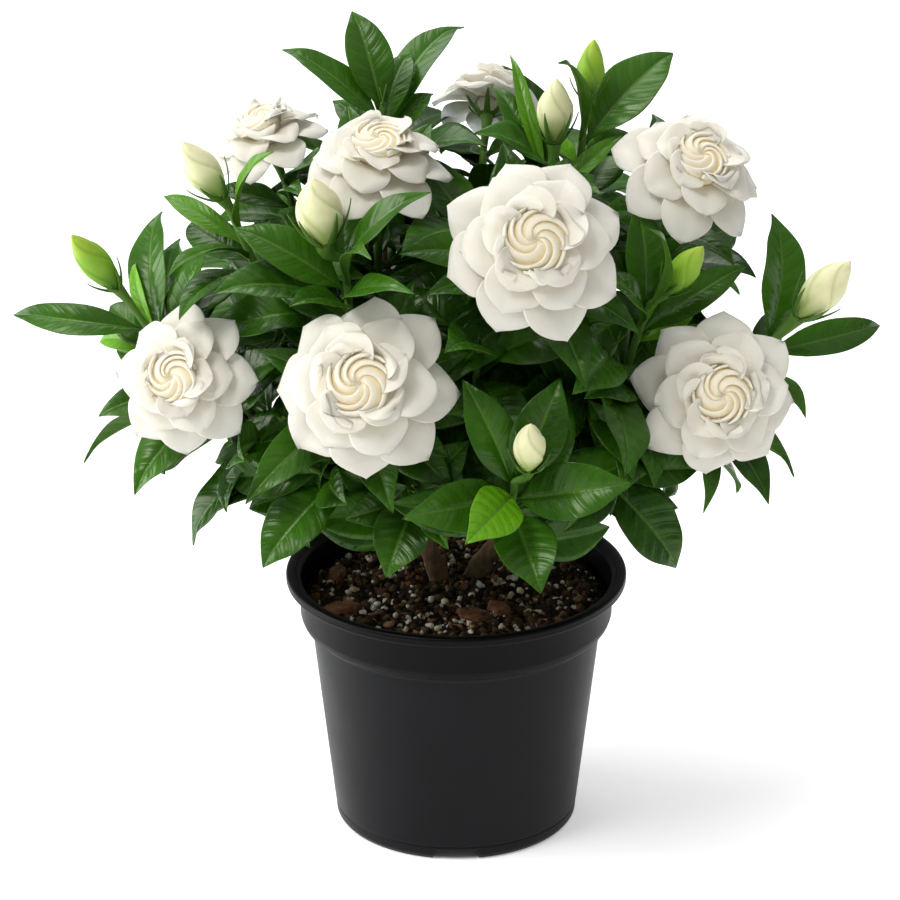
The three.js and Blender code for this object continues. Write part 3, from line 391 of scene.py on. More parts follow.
def tube_rings(path, radii, sides):
    """Rings of points round a path, turned as little as can be along it."""
    tangents = unit(np.gradient(path, axis=0))
    side = vec(1, 0, 0) if abs(tangents[0][2]) > 0.9 else vec(0, 0, 1)
    angle = TURN * np.arange(sides) / sides
    rings = []
    for place, tangent, radius in zip(path, tangents, radii):
        side = square(side, tangent)
        other = np.cross(tangent, side)
        rings.append(place + np.outer(radius * np.cos(angle), side) + np.outer(radius * np.sin(angle), other))
    return np.array(rings)


# ---------------------------------------------------------------- materials


LIGHT_DEPTH = 0.003


def feed(tree, node, inputs):
    """Gives a node's inputs their numbers, or links them to other nodes."""
    for key, value in inputs.items():
        if isinstance(value, bpy.types.NodeSocket):
            tree.links.new(value, node.inputs[key])
        else:
            node.inputs[key].default_value = value
    return node


class Finish:
    """A node material that ends in one Principled shader."""

    def __init__(self, name):
        self.material = bpy.data.materials.new(name)
        self.material.use_nodes = True
        self.tree = self.material.node_tree
        self.tree.nodes.clear()
        self.shader = self.add("ShaderNodeBsdfPrincipled")
        output = self.add("ShaderNodeOutputMaterial")
        self.tree.links.new(self.shader.outputs[0], output.inputs["Surface"])

    def add(self, kind, inputs=None, **settings):
        return feed(self.tree, with_settings(self.tree.nodes.new(kind), **settings), inputs or {})

    def set(self, **inputs):
        feed(self.tree, self.shader, {key.replace("_", " "): value for key, value in inputs.items()})

    def place(self):
        """The point on the surface, in metres."""
        return self.add("ShaderNodeTexCoord").outputs["Object"]

    def grain(self):
        """The two grain coordinates of the surface."""
        uv = self.add("ShaderNodeUVMap", uv_map="grain")
        split = self.add("ShaderNodeSeparateXYZ", {0: uv.outputs[0]})
        return split.outputs[0], split.outputs[1]

    def tone(self):
        return self.add("ShaderNodeAttribute", attribute_name="tone").outputs["Fac"]

    def maths(self, operation, a, b=0.0):
        return self.add("ShaderNodeMath", {0: a, 1: b}, operation=operation).outputs[0]

    def times(self, a, b):
        return self.maths("MULTIPLY", a, b)

    def plus(self, a, b):
        return self.maths("ADD", a, b)

    def let_light_in(self, weight, radius):
        self.set(Subsurface_Weight=weight, Subsurface_Radius=radius, Subsurface_Scale=LIGHT_DEPTH)

    def noise(self, scale, detail=2.0, roughness=0.5, stretch=None):
        vector = self.place()
        if stretch:
            vector = self.add("ShaderNodeMapping", {"Vector": vector, "Scale": stretch}).outputs[0]
        node = self.add("ShaderNodeTexNoise", {"Vector": vector, "Scale": scale, "Detail": detail,
                                               "Roughness": roughness})
        return node.outputs["Fac"]

    def ramp(self, fac, low, high, start=0.0, end=1.0):
        """fac stretched from low..high to start..end, and held there outside."""
        node = self.add("ShaderNodeMapRange", {0: fac, 1: low, 2: high, 3: start, 4: end},
                        interpolation_type="SMOOTHSTEP")
        return node.outputs[0]

    def mix(self, fac, a, b):
        node = self.add("ShaderNodeMix", {0: fac, 6: colour(a), 7: colour(b)}, data_type="RGBA")
        return node.outputs[2]

    def bump(self, height, depth, strength=1.0):
        node = self.add("ShaderNodeBump", {"Height": height, "Distance": depth * MM, "Strength": strength})
        return node.outputs[0]


def colour(value):
    return (*value, 1.0) if isinstance(value, tuple) and len(value) == 3 else value


LATERAL_VEINS = 8


def leaf_finish(name, dark, middle, young, rib, rough, shine):
    m = Finish(name)
    u, v = m.grain()
    tone = m.tone()
    patch = m.noise(30.0, 3.0)
    base = m.mix(m.ramp(patch, 0.35, 0.65), dark, middle)
    base = m.mix(m.ramp(tone, 0.15, 0.55), base, middle)
    base = m.mix(m.ramp(tone, 0.5, 1.0), base, young)
    vein = m.maths("FRACT", m.times(u, LATERAL_VEINS))
    along = m.maths("ABSOLUTE", m.maths("SUBTRACT", vein, 0.5))
    lateral = m.ramp(along, 0.38, 0.5)
    midrib = m.ramp(m.maths("ABSOLUTE", v), 0.09, 0.02)
    # The lateral veins are tinted toward the dark green: painted shade in the sunk veins.
    base = m.mix(m.times(lateral, 0.22), base, dark)
    base = m.mix(m.times(midrib, 0.6), base, rib)
    mottle = m.noise(420.0, 3.0)
    base = m.mix(m.ramp(mottle, 0.3, 0.7, 0.0, 0.22), base, middle)
    m.set(Base_Color=base)
    m.set(Roughness=m.ramp(m.noise(90.0, 2.0), 0.3, 0.7, rough - 0.04, rough + 0.08))
    m.set(Specular_IOR_Level=shine, Specular_Tint=(0.9, 1.0, 0.72, 1.0))
    height = m.plus(m.times(lateral, -0.35), m.times(mottle, 0.35))
    m.set(Normal=m.bump(height, 0.3, 0.7))
    return m.material


def petal_finish():
    m = Finish("ivory_petal")
    u, v = m.grain()
    ivory, shade, cream = (0.82, 0.795, 0.700), (0.805, 0.77, 0.665), (0.86, 0.73, 0.46)
    base = m.mix(m.ramp(m.noise(60.0, 2.0), 0.3, 0.7), ivory, shade)
    base = m.mix(m.tone(), base, cream)
    m.set(Base_Color=base)
    lines = m.add("ShaderNodeTexNoise", {"Vector": m.add("ShaderNodeCombineXYZ", {
        0: m.times(v, 9.0), 1: m.times(u, 1.2)}).outputs[0],
        "Scale": 1.0, "Detail": 2.0}).outputs["Fac"]
    height = m.plus(lines, m.times(m.noise(900.0, 2.0), 0.2))
    m.set(Normal=m.bump(height, 0.3, 0.5))
    m.set(Roughness=m.ramp(lines, 0.3, 0.7, 0.5, 0.62))
    m.set(Specular_IOR_Level=0.25)
    m.let_light_in(0.6, (0.85, 0.92, 1.0))
    return m.material


def bud_finish(name, foot, body, tip):
    m = Finish(name)
    u, _ = m.grain()
    base = m.mix(m.ramp(u, 0.05, 0.55), foot, body)
    base = m.mix(m.ramp(u, 0.5, 1.0), base, tip)
    base = m.mix(m.times(m.tone(), 0.55), base, foot)
    m.set(Base_Color=m.mix(m.ramp(m.noise(150.0, 2.0), 0.3, 0.7, 0.0, 0.2), base, foot))
    m.set(Normal=m.bump(m.noise(260.0, 3.0, stretch=(1, 1, 0.3)), 0.2, 0.5))
    m.set(Roughness=m.ramp(m.noise(120.0), 0.3, 0.7, 0.42, 0.55))
    m.set(Specular_IOR_Level=0.25)
    m.let_light_in(0.25, (0.8, 1.0, 0.4))
    return m.material


def rough_finish(name, colours, scale, depth, rough, stretch=None):
    """A matt natural surface: two colours in patches and a bumpy grain."""
    m = Finish(name)
    base = m.mix(m.ramp(m.noise(scale, 4.0, 0.6, stretch), 0.35, 0.65), colours[0], colours[1])
    base = m.mix(m.ramp(m.tone(), 0.0, 1.0), base, colours[2])
    m.set(Base_Color=base)
    grain = m.noise(scale * 3, 5.0, 0.65, stretch)
    m.set(Roughness=m.ramp(grain, 0.2, 0.8, rough - 0.1, rough))
    m.set(Normal=m.bump(grain, depth, 1.0))
    m.set(Specular_IOR_Level=0.2)
    return m.material


def pot_finish():
    m = Finish("black_pot_plastic")
    cloud = m.noise(22.0, 3.0)
    fine = m.noise(1600.0, 2.0)
    base = m.mix(m.ramp(cloud, 0.3, 0.7), (0.0056, 0.0058, 0.0068), (0.0074, 0.0077, 0.0090))
    height = m.add("ShaderNodeSeparateXYZ", {0: m.place()}).outputs[2]
    # Above the shoulder the base colour drops to near black: painted shade on the collar and lip, which the
    # rim and the crown above keep in shade.
    collar_painted_shade = m.ramp(height, SHOULDER_HEIGHT * MM, (SHOULDER_HEIGHT + 3) * MM)
    base = m.mix(collar_painted_shade, base, (0.0008, 0.0008, 0.0010))
    m.set(Base_Color=base)
    m.set(Roughness=m.ramp(m.plus(cloud, m.times(fine, 0.5)), 0.4, 1.1, 0.36, 0.5))
    m.set(Normal=m.bump(fine, 0.05, 0.5))
    m.set(Specular_IOR_Level=0.11)
    return m.material


LEAF = leaf_finish("leaf_upper", (0.011, 0.045, 0.002), (0.032, 0.115, 0.004), (0.130, 0.360, 0.008),
                   (0.100, 0.220, 0.030), 0.27, 0.30)
LEAF_UNDER = leaf_finish("leaf_under", (0.035, 0.100, 0.010), (0.060, 0.155, 0.015), (0.14, 0.32, 0.020),
                         (0.12, 0.23, 0.06), 0.55, 0.15)
GREEN_STEM = rough_finish("green_stem", [(0.055, 0.12, 0.02), (0.08, 0.16, 0.03), (0.10, 0.22, 0.03)],
                          120.0, 0.2, 0.55)
PETAL = petal_finish()
CREAM_BUD = bud_finish("cream_bud", (0.36, 0.47, 0.12), (0.80, 0.77, 0.48), (0.83, 0.78, 0.52))
GREEN_BUD = bud_finish("green_bud", (0.10, 0.25, 0.02), (0.23, 0.43, 0.025), (0.36, 0.50, 0.05))
BARK = rough_finish("brown_bark", [(0.11, 0.066, 0.034), (0.24, 0.155, 0.085), (0.30, 0.21, 0.12)],
                    150.0, 1.2, 0.95, stretch=(1, 1, 0.3))
SOIL = rough_finish("potting_mix", [(0.006, 0.004, 0.0025), (0.026, 0.016, 0.008), (0.110, 0.066, 0.032)],
                    220.0, 1.2, 1.0)
CHIP = rough_finish("bark_chip", [(0.085, 0.030, 0.014), (0.20, 0.078, 0.036), (0.30, 0.18, 0.10)],
                    160.0, 0.8, 0.95, stretch=(0.4, 1, 1))
PERLITE = rough_finish("perlite", [(0.93, 0.92, 0.88), (0.80, 0.77, 0.70), (0.60, 0.48, 0.32)],
                       500.0, 0.5, 0.95)
POT = pot_finish()

# ---------------------------------------------------------------- pot

POT_SEGMENTS = 144
BEND_STEPS = 4
# The inner wall: height, and how far it stands out past the foot.
INNER_WALL = [
    (FLOOR_HEIGHT, 1.3 - WALL), (SHOULDER_HEIGHT + 1.5, 12.9 - WALL), (SHOULDER_HEIGHT + 3.8, 16.7 - WALL),
    (SHOULDER_HEIGHT + 6.2, 17.7 - WALL), (POT_HEIGHT - 9, 18.4 - WALL), (POT_HEIGHT - 3, 19.1 - WALL),
]


def rounded(section, radius):
    """The section with each corner rounded."""
    points = []
    count = len(section)
    for k, corner in enumerate(section):
        corner = vec(*corner)
        ways = [vec(*section[k - 1]) - corner, vec(*section[(k + 1) % count]) - corner]
        cut = [corner + way / np.linalg.norm(way) * min(radius, 0.45 * np.linalg.norm(way)) for way in ways]
        points.extend(bezier(cut[0], corner, cut[1], np.linspace(0, 1, BEND_STEPS)))
    return points


def pot_section():
    lip, top, foot, bend = RIM_RADIUS, POT_HEIGHT, FOOT_RADIUS, SHOULDER_HEIGHT
    outside = [
        [foot - 1, 0], [foot + 0.9, 2.4], [foot + 1.35, 6.6], [foot + 1.0, 7.1], [foot + 1.5, 7.7],
        [foot + 12.5, bend - 0.9], [foot + 13.5, bend - 0.3], [foot + 13.7, bend + 0.5],
        [foot + 16.8, bend + 2.6], [foot + 18, bend + 6], [foot + 18.5, top - RIM_DEPTH - 0.6],
        [lip - 1.2, top - RIM_DEPTH - 0.3], [lip - 0.3, top - RIM_DEPTH + 0.3], [lip, top - RIM_DEPTH + 1.2],
        [lip - 0.1, top - 2.6], [lip + 0.1, top - 1.6], [lip - 0.5, top - 0.4],
    ]
    inside = [[lip - 2.4, top], [lip - 4.4, top - 0.4], [lip - 4.9, top - 1.4],
              *([foot + step, height] for height, step in reversed(INNER_WALL))]
    under = [[foot - 9, FLOOR_HEIGHT - WALL], [foot - 7, 0]]
    return [[16, 0], [18, FLOOR_HEIGHT - WALL], *under, *outside, *inside]


def make_pot():
    section = rounded(pot_section(), 0.7)
    foot_turns = [TURN * k / 3 - TURN / 4 for k in range(3)]
    edges = [turn + sign * math.asin(half / FOOT_RADIUS) for turn in foot_turns for sign in (-1, 1)
             for half in (NOTCH_WIDTH / 2, NOTCH_TOP_WIDTH / 2)]
    even = np.arange(POT_SEGMENTS) * TURN / POT_SEGMENTS
    angles = np.unique(np.round([a % TURN for a in [*even, *edges]], 9))
    gap = np.min([np.abs((angles - turn + math.pi) % TURN - math.pi) for turn in foot_turns], axis=0)
    away = FOOT_RADIUS * np.sin(np.minimum(gap, math.pi / 2))
    rise = (NOTCH_WIDTH / 2 - away) / (NOTCH_WIDTH - NOTCH_TOP_WIDTH) * 2 * NOTCH_HEIGHT
    lift = np.clip(rise, 0, NOTCH_HEIGHT)
    skin = Skin()
    rings = []
    for radius, height in section:
        in_foot = radius > FOOT_RADIUS - 8 and height < NOTCH_HEIGHT
        rings.append(ring(radius, np.maximum(height, lift) if in_foot else height, angles))
    skin.tube(np.array(rings), NO_GRAIN, 0.0, ends=(False, False))
    last = (len(rings) - 1) * len(angles)
    middle = skin.put(np.array([[0, 0, 0.0], [0, 0, FLOOR_HEIGHT]]), NO_GRAIN, 0.0)
    for k in range(len(angles)):
        after = (k + 1) % len(angles)
        skin.caps.append([middle[0], after, k])
        skin.caps.append([middle[1], last + k, last + after])
        skin.cap_slots.extend([0, 0])
    pot = skin.build("pot_shell", [POT], "pot", ["pot"])
    drill(pot)


def drill(pot):
    """Three drainage holes through the floor."""
    drills = Skin()
    for k in range(3):
        turn = math.radians(120 * k + 30)
        middle = vec(DRAIN_REACH * math.cos(turn), DRAIN_REACH * math.sin(turn), 0)
        path = np.array([middle + vec(0, 0, z) for z in (1, 5, 10)])
        drills.tube(tube_rings(path, [DRAIN_RADIUS] * 3, 24), NO_GRAIN, 0.0)
    tool = drills.build("drain_drill", [POT], "pot")
    with_settings(pot.modifiers.new("drain", "BOOLEAN"), operation="DIFFERENCE", solver="EXACT", object=tool)
    evaluated = pot.evaluated_get(bpy.context.evaluated_depsgraph_get())
    pot.data = bpy.data.meshes.new_from_object(evaluated)
    pot.modifiers.clear()
    bpy.data.objects.remove(tool)


# ---------------------------------------------------------------- soil, perlite and chips


def inner_radius(height):
    heights, steps = zip(*INNER_WALL)
    return FOOT_RADIUS + np.interp(height, heights, steps)


def lumps(x, y):
    """Height of the soil's surface over its level."""
    waves = [(0.05, 0.03, 1.0), (-0.08, 0.11, 2.2), (0.21, 0.05, 0.4), (0.13, -0.24, 3.0), (0.42, 0.37, 5.1),
             (-0.55, 0.30, 1.7), (0.75, -0.62, 0.2)]
    height = 0.0
    for k, (a, b, c) in enumerate(waves):
        height = height + 1.1 / (1 + 0.45 * k) * np.sin(a * x + b * y + c)
    return height


def soil_height(x, y):
    far = np.hypot(x, y)
    return SOIL_HEIGHT + lumps(x, y) - 2.2 * smooth(62, 74, far) + 1.5 * smooth(40, 0, far)


def make_soil(rng):
    skin = Skin()
    count = 180
    angle = TURN * np.arange(count) / count
    walls = [FLOOR_HEIGHT + GAP, SHOULDER_HEIGHT + 1, SHOULDER_HEIGHT + 6.2, SOIL_HEIGHT - 4]
    rings = [ring(inner_radius(z) - 0.6, z, angle) for z in walls]
    edge = inner_radius(SOIL_HEIGHT) - 0.7
    for radius in [edge, *np.arange(72, 0.9, -1.3)]:
        x, y = radius * np.cos(angle), radius * np.sin(angle)
        rough = rng.uniform(-0.35, 0.35, count) * min(1, radius / 20)
        rings.append(np.stack([x, y, soil_height(x, y) + rough], -1))
    skin.tube(np.array(rings), NO_GRAIN, rng.uniform(0, 0.3, (len(rings), count)))
    skin.build("soil_mix", [SOIL], "soil", ["soil"])


NET_POINTS = [(x, y, z) for x in (-1, 0, 1) for y in (-1, 0, 1) for z in (-1, 0, 1) if (x, y, z) != (0, 0, 0)]


def pebble(rng, size, flat):
    """The 26 outer points of a small cube's net, pushed out to a rough ball."""
    base = np.array(NET_POINTS, float)
    points = unit(base) * rng.uniform(0.72, 1.15, (len(base), 1))
    points = points * vec(1, rng.uniform(0.65, 1), flat) * size
    turn = unit(rng.normal(size=3))
    angle = rng.uniform(0, TURN)
    tilt = 0.5 if flat < 0.6 else 1.0
    axis = unit(turn * vec(tilt, tilt, 1))
    c, s = math.cos(angle), math.sin(angle)
    cross = np.cross(np.broadcast_to(axis, points.shape), points)
    return points * c + cross * s + np.outer(points @ axis, axis) * (1 - c)


def cube_net():
    """Quads over the 26 points, all facing outward."""
    number = {point: k for k, point in enumerate(NET_POINTS)}
    quads = []
    for axis in range(3):
        for end in (-1, 1):
            for a in (-1, 0):
                for b in (-1, 0):
                    loop = [(a, b), (a + 1, b), (a + 1, b + 1), (a, b + 1)]
                    if end < 0:
                        loop.reverse()
                    quads.append([number[tuple(np.insert([p, q], axis, end).tolist())] for p, q in loop])
                    if axis == 1:
                        quads[-1].reverse()
    return np.array(quads)


NET = cube_net()
STEM_CLEARANCE = 7.5
SOIL_REACH = 73
# Grains on the soil: finish, slot, number, sizes, flatness and tones.
GRAINS = {
    "soil_crumbs": (SOIL, "soil", 1200, (1.2, 3.6), 0.7, (0.0, 1.0)),
    "bark_crumbs": (CHIP, "chip", 190, (1.8, 4.6), 0.35, (0.0, 1.0)),
    "perlite_grains": (PERLITE, "soil", 430, (0.8, 2.7), 0.9, (0.0, 0.8)),
}


def clear_of_stems(x, y):
    """Whether a place on the soil is away from the two trunks."""
    return min(math.hypot(x + 8, y - 11), math.hypot(x - 8, y - 13)) > STEM_CLEARANCE


def scatter(rng, name, material, slot, count, sizes, flat, tones):
    """Grains that lie on the soil, half sunk in it."""
    skin = Skin()
    placed = 0
    while placed < count:
        size = rng.uniform(*sizes) * rng.uniform(0.6, 1.0)
        far = (SOIL_REACH - size) * math.sqrt(rng.uniform(0, 1))
        turn = rng.uniform(0, TURN)
        x, y = far * math.cos(turn), far * math.sin(turn)
        if not clear_of_stems(x, y):
            continue
        z = soil_height(x, y) + size * flat * rng.uniform(-0.2, 0.5)
        skin.shell(pebble(rng, size, flat) + vec(x, y, z), NET, tone=rng.uniform(*tones))
        placed += 1
    skin.build(name, [material], slot)


CHIP_OUTLINE = [[-0.5, -0.1], [-0.2, -0.28], [0.3, -0.22], [0.5, 0.05], [0.2, 0.26], [-0.25, 0.2]]
# Rings of a chip: share of its height and of its outline.
CHIP_LAYERS = [(0, 0.55), (0, 0.93), (0.3, 1), (0.45, 0.94), (0.7, 0.97), (0.9, 0.9), (1, 0.8), (1, 0.45),
               (0.92, 0.12)]


def make_chip(name, plan, rng):
    """A flake of bark where the part's chip lies: layered edges and a rough face."""
    at, length, turn = plan
    low, high = (np.array(corner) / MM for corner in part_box(f"chip_{name}"))
    outline = np.array([[x, y] for x, y in CHIP_OUTLINE]) * length
    fine = np.concatenate([np.linspace(outline[k], outline[(k + 1) % 6], 7)[:-1] for k in range(6)])
    fine = fine * rng.uniform(0.93, 1.04, (len(fine), 1))
    angle = math.radians(turn)
    spin = np.array([[math.cos(angle), math.sin(angle)], [-math.sin(angle), math.cos(angle)]])
    skin = Skin()
    rings = []
    for share, inset in CHIP_LAYERS:
        flat = fine * inset @ spin + at
        rough = rng.uniform(-0.25, 0.25, len(fine)) * (share > 0)
        rings.append(np.column_stack([flat, low[2] + share * (high[2] - low[2]) + rough - 0.1]))
    skin.tube(np.array(rings), NO_GRAIN, rng.uniform(0, 0.5, (len(rings), len(fine))))
    skin.build(f"bark_chip_{name}", [CHIP], "chip", [f"chip_{name}"])


# ---------------------------------------------------------------- leaves


class Leaf:
    def __init__(self, root, tip, up, width):
        self.root, self.tip, self.up, self.width = root, tip, up, width

    def bent(self, swing, lift, size):
        """The leaf swung sideways and lifted about its root, in degrees, and shortened."""
        chord = self.tip - self.root
        up, _ = self.curve()
        side = across(unit(chord), up)
        way = turned(turned(chord * size, up, swing), side, -lift)
        return Leaf(self.root, self.root + way, self.up, self.width * size)

    def curve(self):
        chord = self.tip - self.root
        up = square(self.up, unit(chord))
        pull = self.root + chord * 0.5 + up * 2 * LEAF_ARCH * np.linalg.norm(chord)
        return up, pull


# How the part may bend a leaf, in the order it tries: swing and lift in degrees, and size.
BENDS = [(a * step, b * step, size) for size in (1, 0.86, 0.72, 0.58, 0.45) for step in (0, 8, 16, 25, 36)
         for a, b in ((0, 1), (1, 0), (-1, 0), (0, -1), (1, 1), (-1, 1), (1, -1), (-1, -1))]
SAME_PLACE = 0.05


def node_points(node):
    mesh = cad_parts[node].data
    points = np.empty(len(mesh.vertices) * 3, np.float32)
    mesh.vertices.foreach_get("co", points)
    return points.reshape(-1, 3).astype(float) / MM


def as_built(leaf, points):
    """The bend that the part gave a leaf, known by the leaf's tip in the part's solid, or None."""
    for way in BENDS:
        tried = leaf.bent(*way)
        up, pull = tried.curve()
        out = square(up, unit(tried.tip - pull))
        edge = out * LEAF_THICKNESS / 2
        ends = (tried.tip + edge, tried.tip - edge)
        if all(np.min(np.linalg.norm(points - end, axis=1)) < SAME_PLACE for end in ends):
            return tried
    return None


def sunny(place):
    return unit(place - CROWN_MIDDLE)


def leaf_on(curve, k, count, tip, light, width):
    along = 1 - (FIRST_LEAF + k * min(LEAF_SPACING, LEAF_STRETCH / count)) / STEM_LENGTH
    root = bezier(*curve, along)
    way_up = bezier_tangent(*curve, along)
    way = unit(tip - root)
    level = across(way, way_up)
    up = 0.5 * way_up + light
    share = 0.5
    while np.dot(across(way, up), level) < MOST_TWIST:
        up = light + way_up * (1 + share)
        share += 0.25
    return Leaf(root, tip, up, width)


def stem_curve(node, axis):
    """A stem's curve from the wood to its node: foot, pull and end."""
    return node - axis * STEM_LENGTH - vec(0, 0, STEM_SAG), node - axis * STEM_LENGTH / 2, node


def flower_of(name):
    """What a stem of the plan ends in, from its name: a bud, a bloom or nothing."""
    flower = name.removesuffix("_bud").removesuffix("_flower")
    kind = "bud" if name.endswith("_bud") else "bloom" if flower in BLOOMS else None
    return {"kind": kind, "flower": flower}


def planned_shoot(name, plan):
    place, axis, tips = plan
    node, axis = vec(*place), unit(vec(*axis))
    curve = stem_curve(node, axis)
    steep = sorted(tips, key=lambda t: -np.dot(unit(vec(*t[:3]) - node), axis))
    leaves = [leaf_on(curve, k, len(tips), vec(*tip), sunny(vec(*tip)) + VIEW_SIDE, width)
              for k, (*tip, width) in enumerate(steep)]
    return {"axis": axis, "curve": curve, "leaves": leaves, **flower_of(name)}


class Draw:
    """The part's own seeded random numbers."""

    value = SEED

    def __call__(self, low, high):
        self.value = (self.value * 16807) % 2147483647
        return low + (high - low) * self.value / 2147483647


def fill_shoot(plan, draw):
    bearing, reach, height, count = plan
    outward = vec(math.cos(math.radians(bearing)), math.sin(math.radians(bearing)), 0)
    node = outward * reach + vec(0, 0, height)
    rise = (height - 160) / 150
    axis = unit(outward * (1 - 0.6 * rise) + vec(0, 0, 0.35 + 0.8 * rise))
    _, side, other = face_axes(axis)
    spin = draw(0, 360)
    curve = stem_curve(node, axis)
    leaves = []
    for k in range(count):
        turn = math.radians(spin + GOLDEN_TURN * k)
        angle = math.radians(FILL_LEAF_ANGLE + 6 * k + draw(-12, 0))
        length = FILL_LEAF_LENGTH * draw(0.85, 1.12)
        out = spoke(side, other, turn)
        tip = node + axis * (length * math.cos(angle) - LEAF_SPACING * k) + out * length * math.sin(angle)
        leaves.append(leaf_on(curve, k, count, tip, sunny(tip), length * FILL_LEAF_ASPECT))
    return {"axis": axis, "curve": curve, "leaves": leaves, "kind": None}


# Older leaves lower down, which fill the crown and which the part leaves out.
UNDER_LEAVES = 10
UNDER_TRIES = 24
UNDER_REACH = np.array([168, 125, 130])
UNDER_MIDDLE = np.array([-3, 8, 255])
UNDER_LOWEST = 152
UNDER_ALONG = (-0.8, 0.55)
UNDER_LEAN = (50, 110)
UNDER_LENGTH = (42, 68)
UNDER_ASPECT = (0.38, 0.46)


def in_the_way(place):
    """Whether a place is in or in front of a bloom, or in or close to a bud."""
    for at, faces, radius, _ in BLOOMS.values():
        out = unit(vec(*faces))
        step = place - vec(*at)
        high = np.dot(step, out)
        if -14 < high < 80 and np.linalg.norm(step - out * high) < radius + 3:
            return True
    for foot, tip, radius, _ in BUDS.values():
        foot, tip = vec(*foot), vec(*tip)
        along = np.clip(np.dot(place - foot, tip - foot) / np.dot(tip - foot, tip - foot), 0, 1)
        if np.linalg.norm(place - foot - (tip - foot) * along) < radius + 6:
            return True
    return False


def in_the_crown(root, tip, length):
    """Whether a tip is well inside the crown, over its rounded lower edge and not in front of the trunks."""
    return (np.linalg.norm((tip - UNDER_MIDDLE) / UNDER_REACH) < 1
            and tip[2] > UNDER_LOWEST + 0.45 * max(0, abs(tip[0]) - 50)
            and tip[2] > root[2] - 0.6 * length
            and (tip[2] > 190 or tip[1] > 15 or abs(tip[0]) > 55))


def under_leaves(shoot, rng):
    """Leaves on a stem, or where along is negative on its twig."""
    _, side, other = face_axes(shoot["axis"])
    twig = shoot["twig"]
    leaves = []
    for k in range(UNDER_LEAVES):
        for _ in range(UNDER_TRIES):
            along = rng.uniform(*UNDER_ALONG)
            if along < 0:
                step = int((1 + along) * (len(twig) - 1))
                root = twig[step]
                way_up = unit(twig[step + 1] - root)
            else:
                root = bezier(*shoot["curve"], along)
                way_up = bezier_tangent(*shoot["curve"], along)
            turn = math.radians(GOLDEN_TURN) * k + rng.uniform(-0.9, 0.9)
            lean = math.radians(rng.uniform(*UNDER_LEAN))
            length = rng.uniform(*UNDER_LENGTH)
            tip = root + length * (way_up * math.cos(lean) + spoke(side, other, turn) * math.sin(lean))
            spots = [root + (tip - root) * share for share in (0.35, 0.6, 0.8, 1.0)]
            if in_the_crown(root, tip, length) and not any(in_the_way(spot) for spot in spots):
                light = 0.6 * way_up + sunny(tip) + 0.8 * VIEW_SIDE
                leaves.append(Leaf(root, tip, light, length * rng.uniform(*UNDER_ASPECT)))
                break
    return leaves


ROWS_PER_VEIN = 3
UNDER_ROWS_PER_VEIN = 2
LEAF_COLUMNS = vec(-1, -0.95, -0.82, -0.64, -0.45, -0.26, -0.1, 0, 0.1, 0.26, 0.45, 0.64, 0.82, 0.95, 1)
UNDER_COLUMNS = vec(-1, -0.75, -0.3, 0, 0.3, 0.75, 1)
STALK_ROWS = vec(0, 0.35, 0.7)
BLADE_THICKNESS = 0.45


def leaf_width(u):
    """Half the blade's width along it: a wedge at the foot, an ellipse and a drawn-out tip."""
    body = np.sin(math.pi * np.clip(u, 0, 1) ** 0.9) ** 0.85
    return body * (1 - 0.22 * smooth(0.72, 0.97, u)) * (0.82 + 0.18 * smooth(0.0, 0.25, u))


def leaf_blade(skin, leaf, tone, rng, rows_per_vein=ROWS_PER_VEIN, columns=LEAF_COLUMNS):
    """One leaf: a stalk, then a quilted blade with a sunk midrib, in rows that follow its veins."""
    up, pull = leaf.curve()
    length = np.linalg.norm(leaf.tip - leaf.root)
    steps = LATERAL_VEINS * rows_per_vein
    u = np.arange(steps + 1) / steps
    t = columns[None, :]
    side = np.abs(t)
    slant = (0.15 * side + 0.06 * side**2) * np.sin(math.pi * u)[:, None] ** 0.8
    blade_u = np.clip(u[:, None] + slant * (1 - u[:, None]) ** 0.35, 0, 1)
    stalk_s = np.repeat((STALK_ROWS * PETIOLE)[:, None], len(columns), 1)
    s = np.vstack([stalk_s, PETIOLE + (1 - PETIOLE) * blade_u])
    grain_u = np.concatenate([np.zeros(len(STALK_ROWS)), u])[:, None]
    half = np.where(s < PETIOLE, 0, leaf.width / 2 * leaf_width((s - PETIOLE) / (1 - PETIOLE)))
    stalk = 1.05 * (1 - smooth(0.15, 1.0, s))
    half = np.sqrt(half**2 + stalk**2) + 0.05

    bow = rng.normal(0, 0.018)
    tangent = bezier_tangent(leaf.root, pull, leaf.tip, s)
    out = square(np.broadcast_to(up, tangent.shape), tangent)
    sideways = across(tangent, out)
    middle = bezier(leaf.root, pull, leaf.tip, s)
    phase = rng.uniform(0, TURN, 2)
    waves = rng.uniform(1.6, 2.6, 2)
    wave = np.where(t < 0, np.sin(TURN * waves[0] * s + phase[0]), np.sin(TURN * waves[1] * s + phase[1]))
    swell = np.abs(np.sin(math.pi * LATERAL_VEINS * grain_u)) ** 0.85
    quilt = 0.034 * leaf.width * (swell - 0.5) * np.sin(math.pi * np.clip(side, 0, 1) ** 0.8) * (grain_u > 0)
    groove = -0.3 * np.exp(-(t * half / 1.0) ** 2) * smooth(0, 0.1, s)
    lift = (half * LEAF_FOLD * (1.5 * side - 0.62 * side**2) + 0.07 * half * wave * side**2
            - 0.035 * length * smooth(0.78, 1.0, s) ** 2 + quilt + groove)
    shift = t * half + bow * length * np.sin(math.pi * s)
    place = middle + sideways * shift[..., None] + out * lift[..., None]
    thick = BLADE_THICKNESS * (1 - 0.45 * side) + 1.3 * (1 - smooth(0.0, 0.14, s)) * (1 - 0.6 * side)
    keel = 0.75 * np.exp(-(t * half / 0.75) ** 2) * (1 - 0.8 * s)
    under = place - out * (thick + keel)[..., None]
    n = len(columns)
    grain = (grain_u, np.append(columns, columns[::-1]))
    skin.tube(there_and_back(under, place), grain, tone, np.repeat([1, 0, 1], [n, n - 1, 1]))


# ---------------------------------------------------------------- stems and calyxes


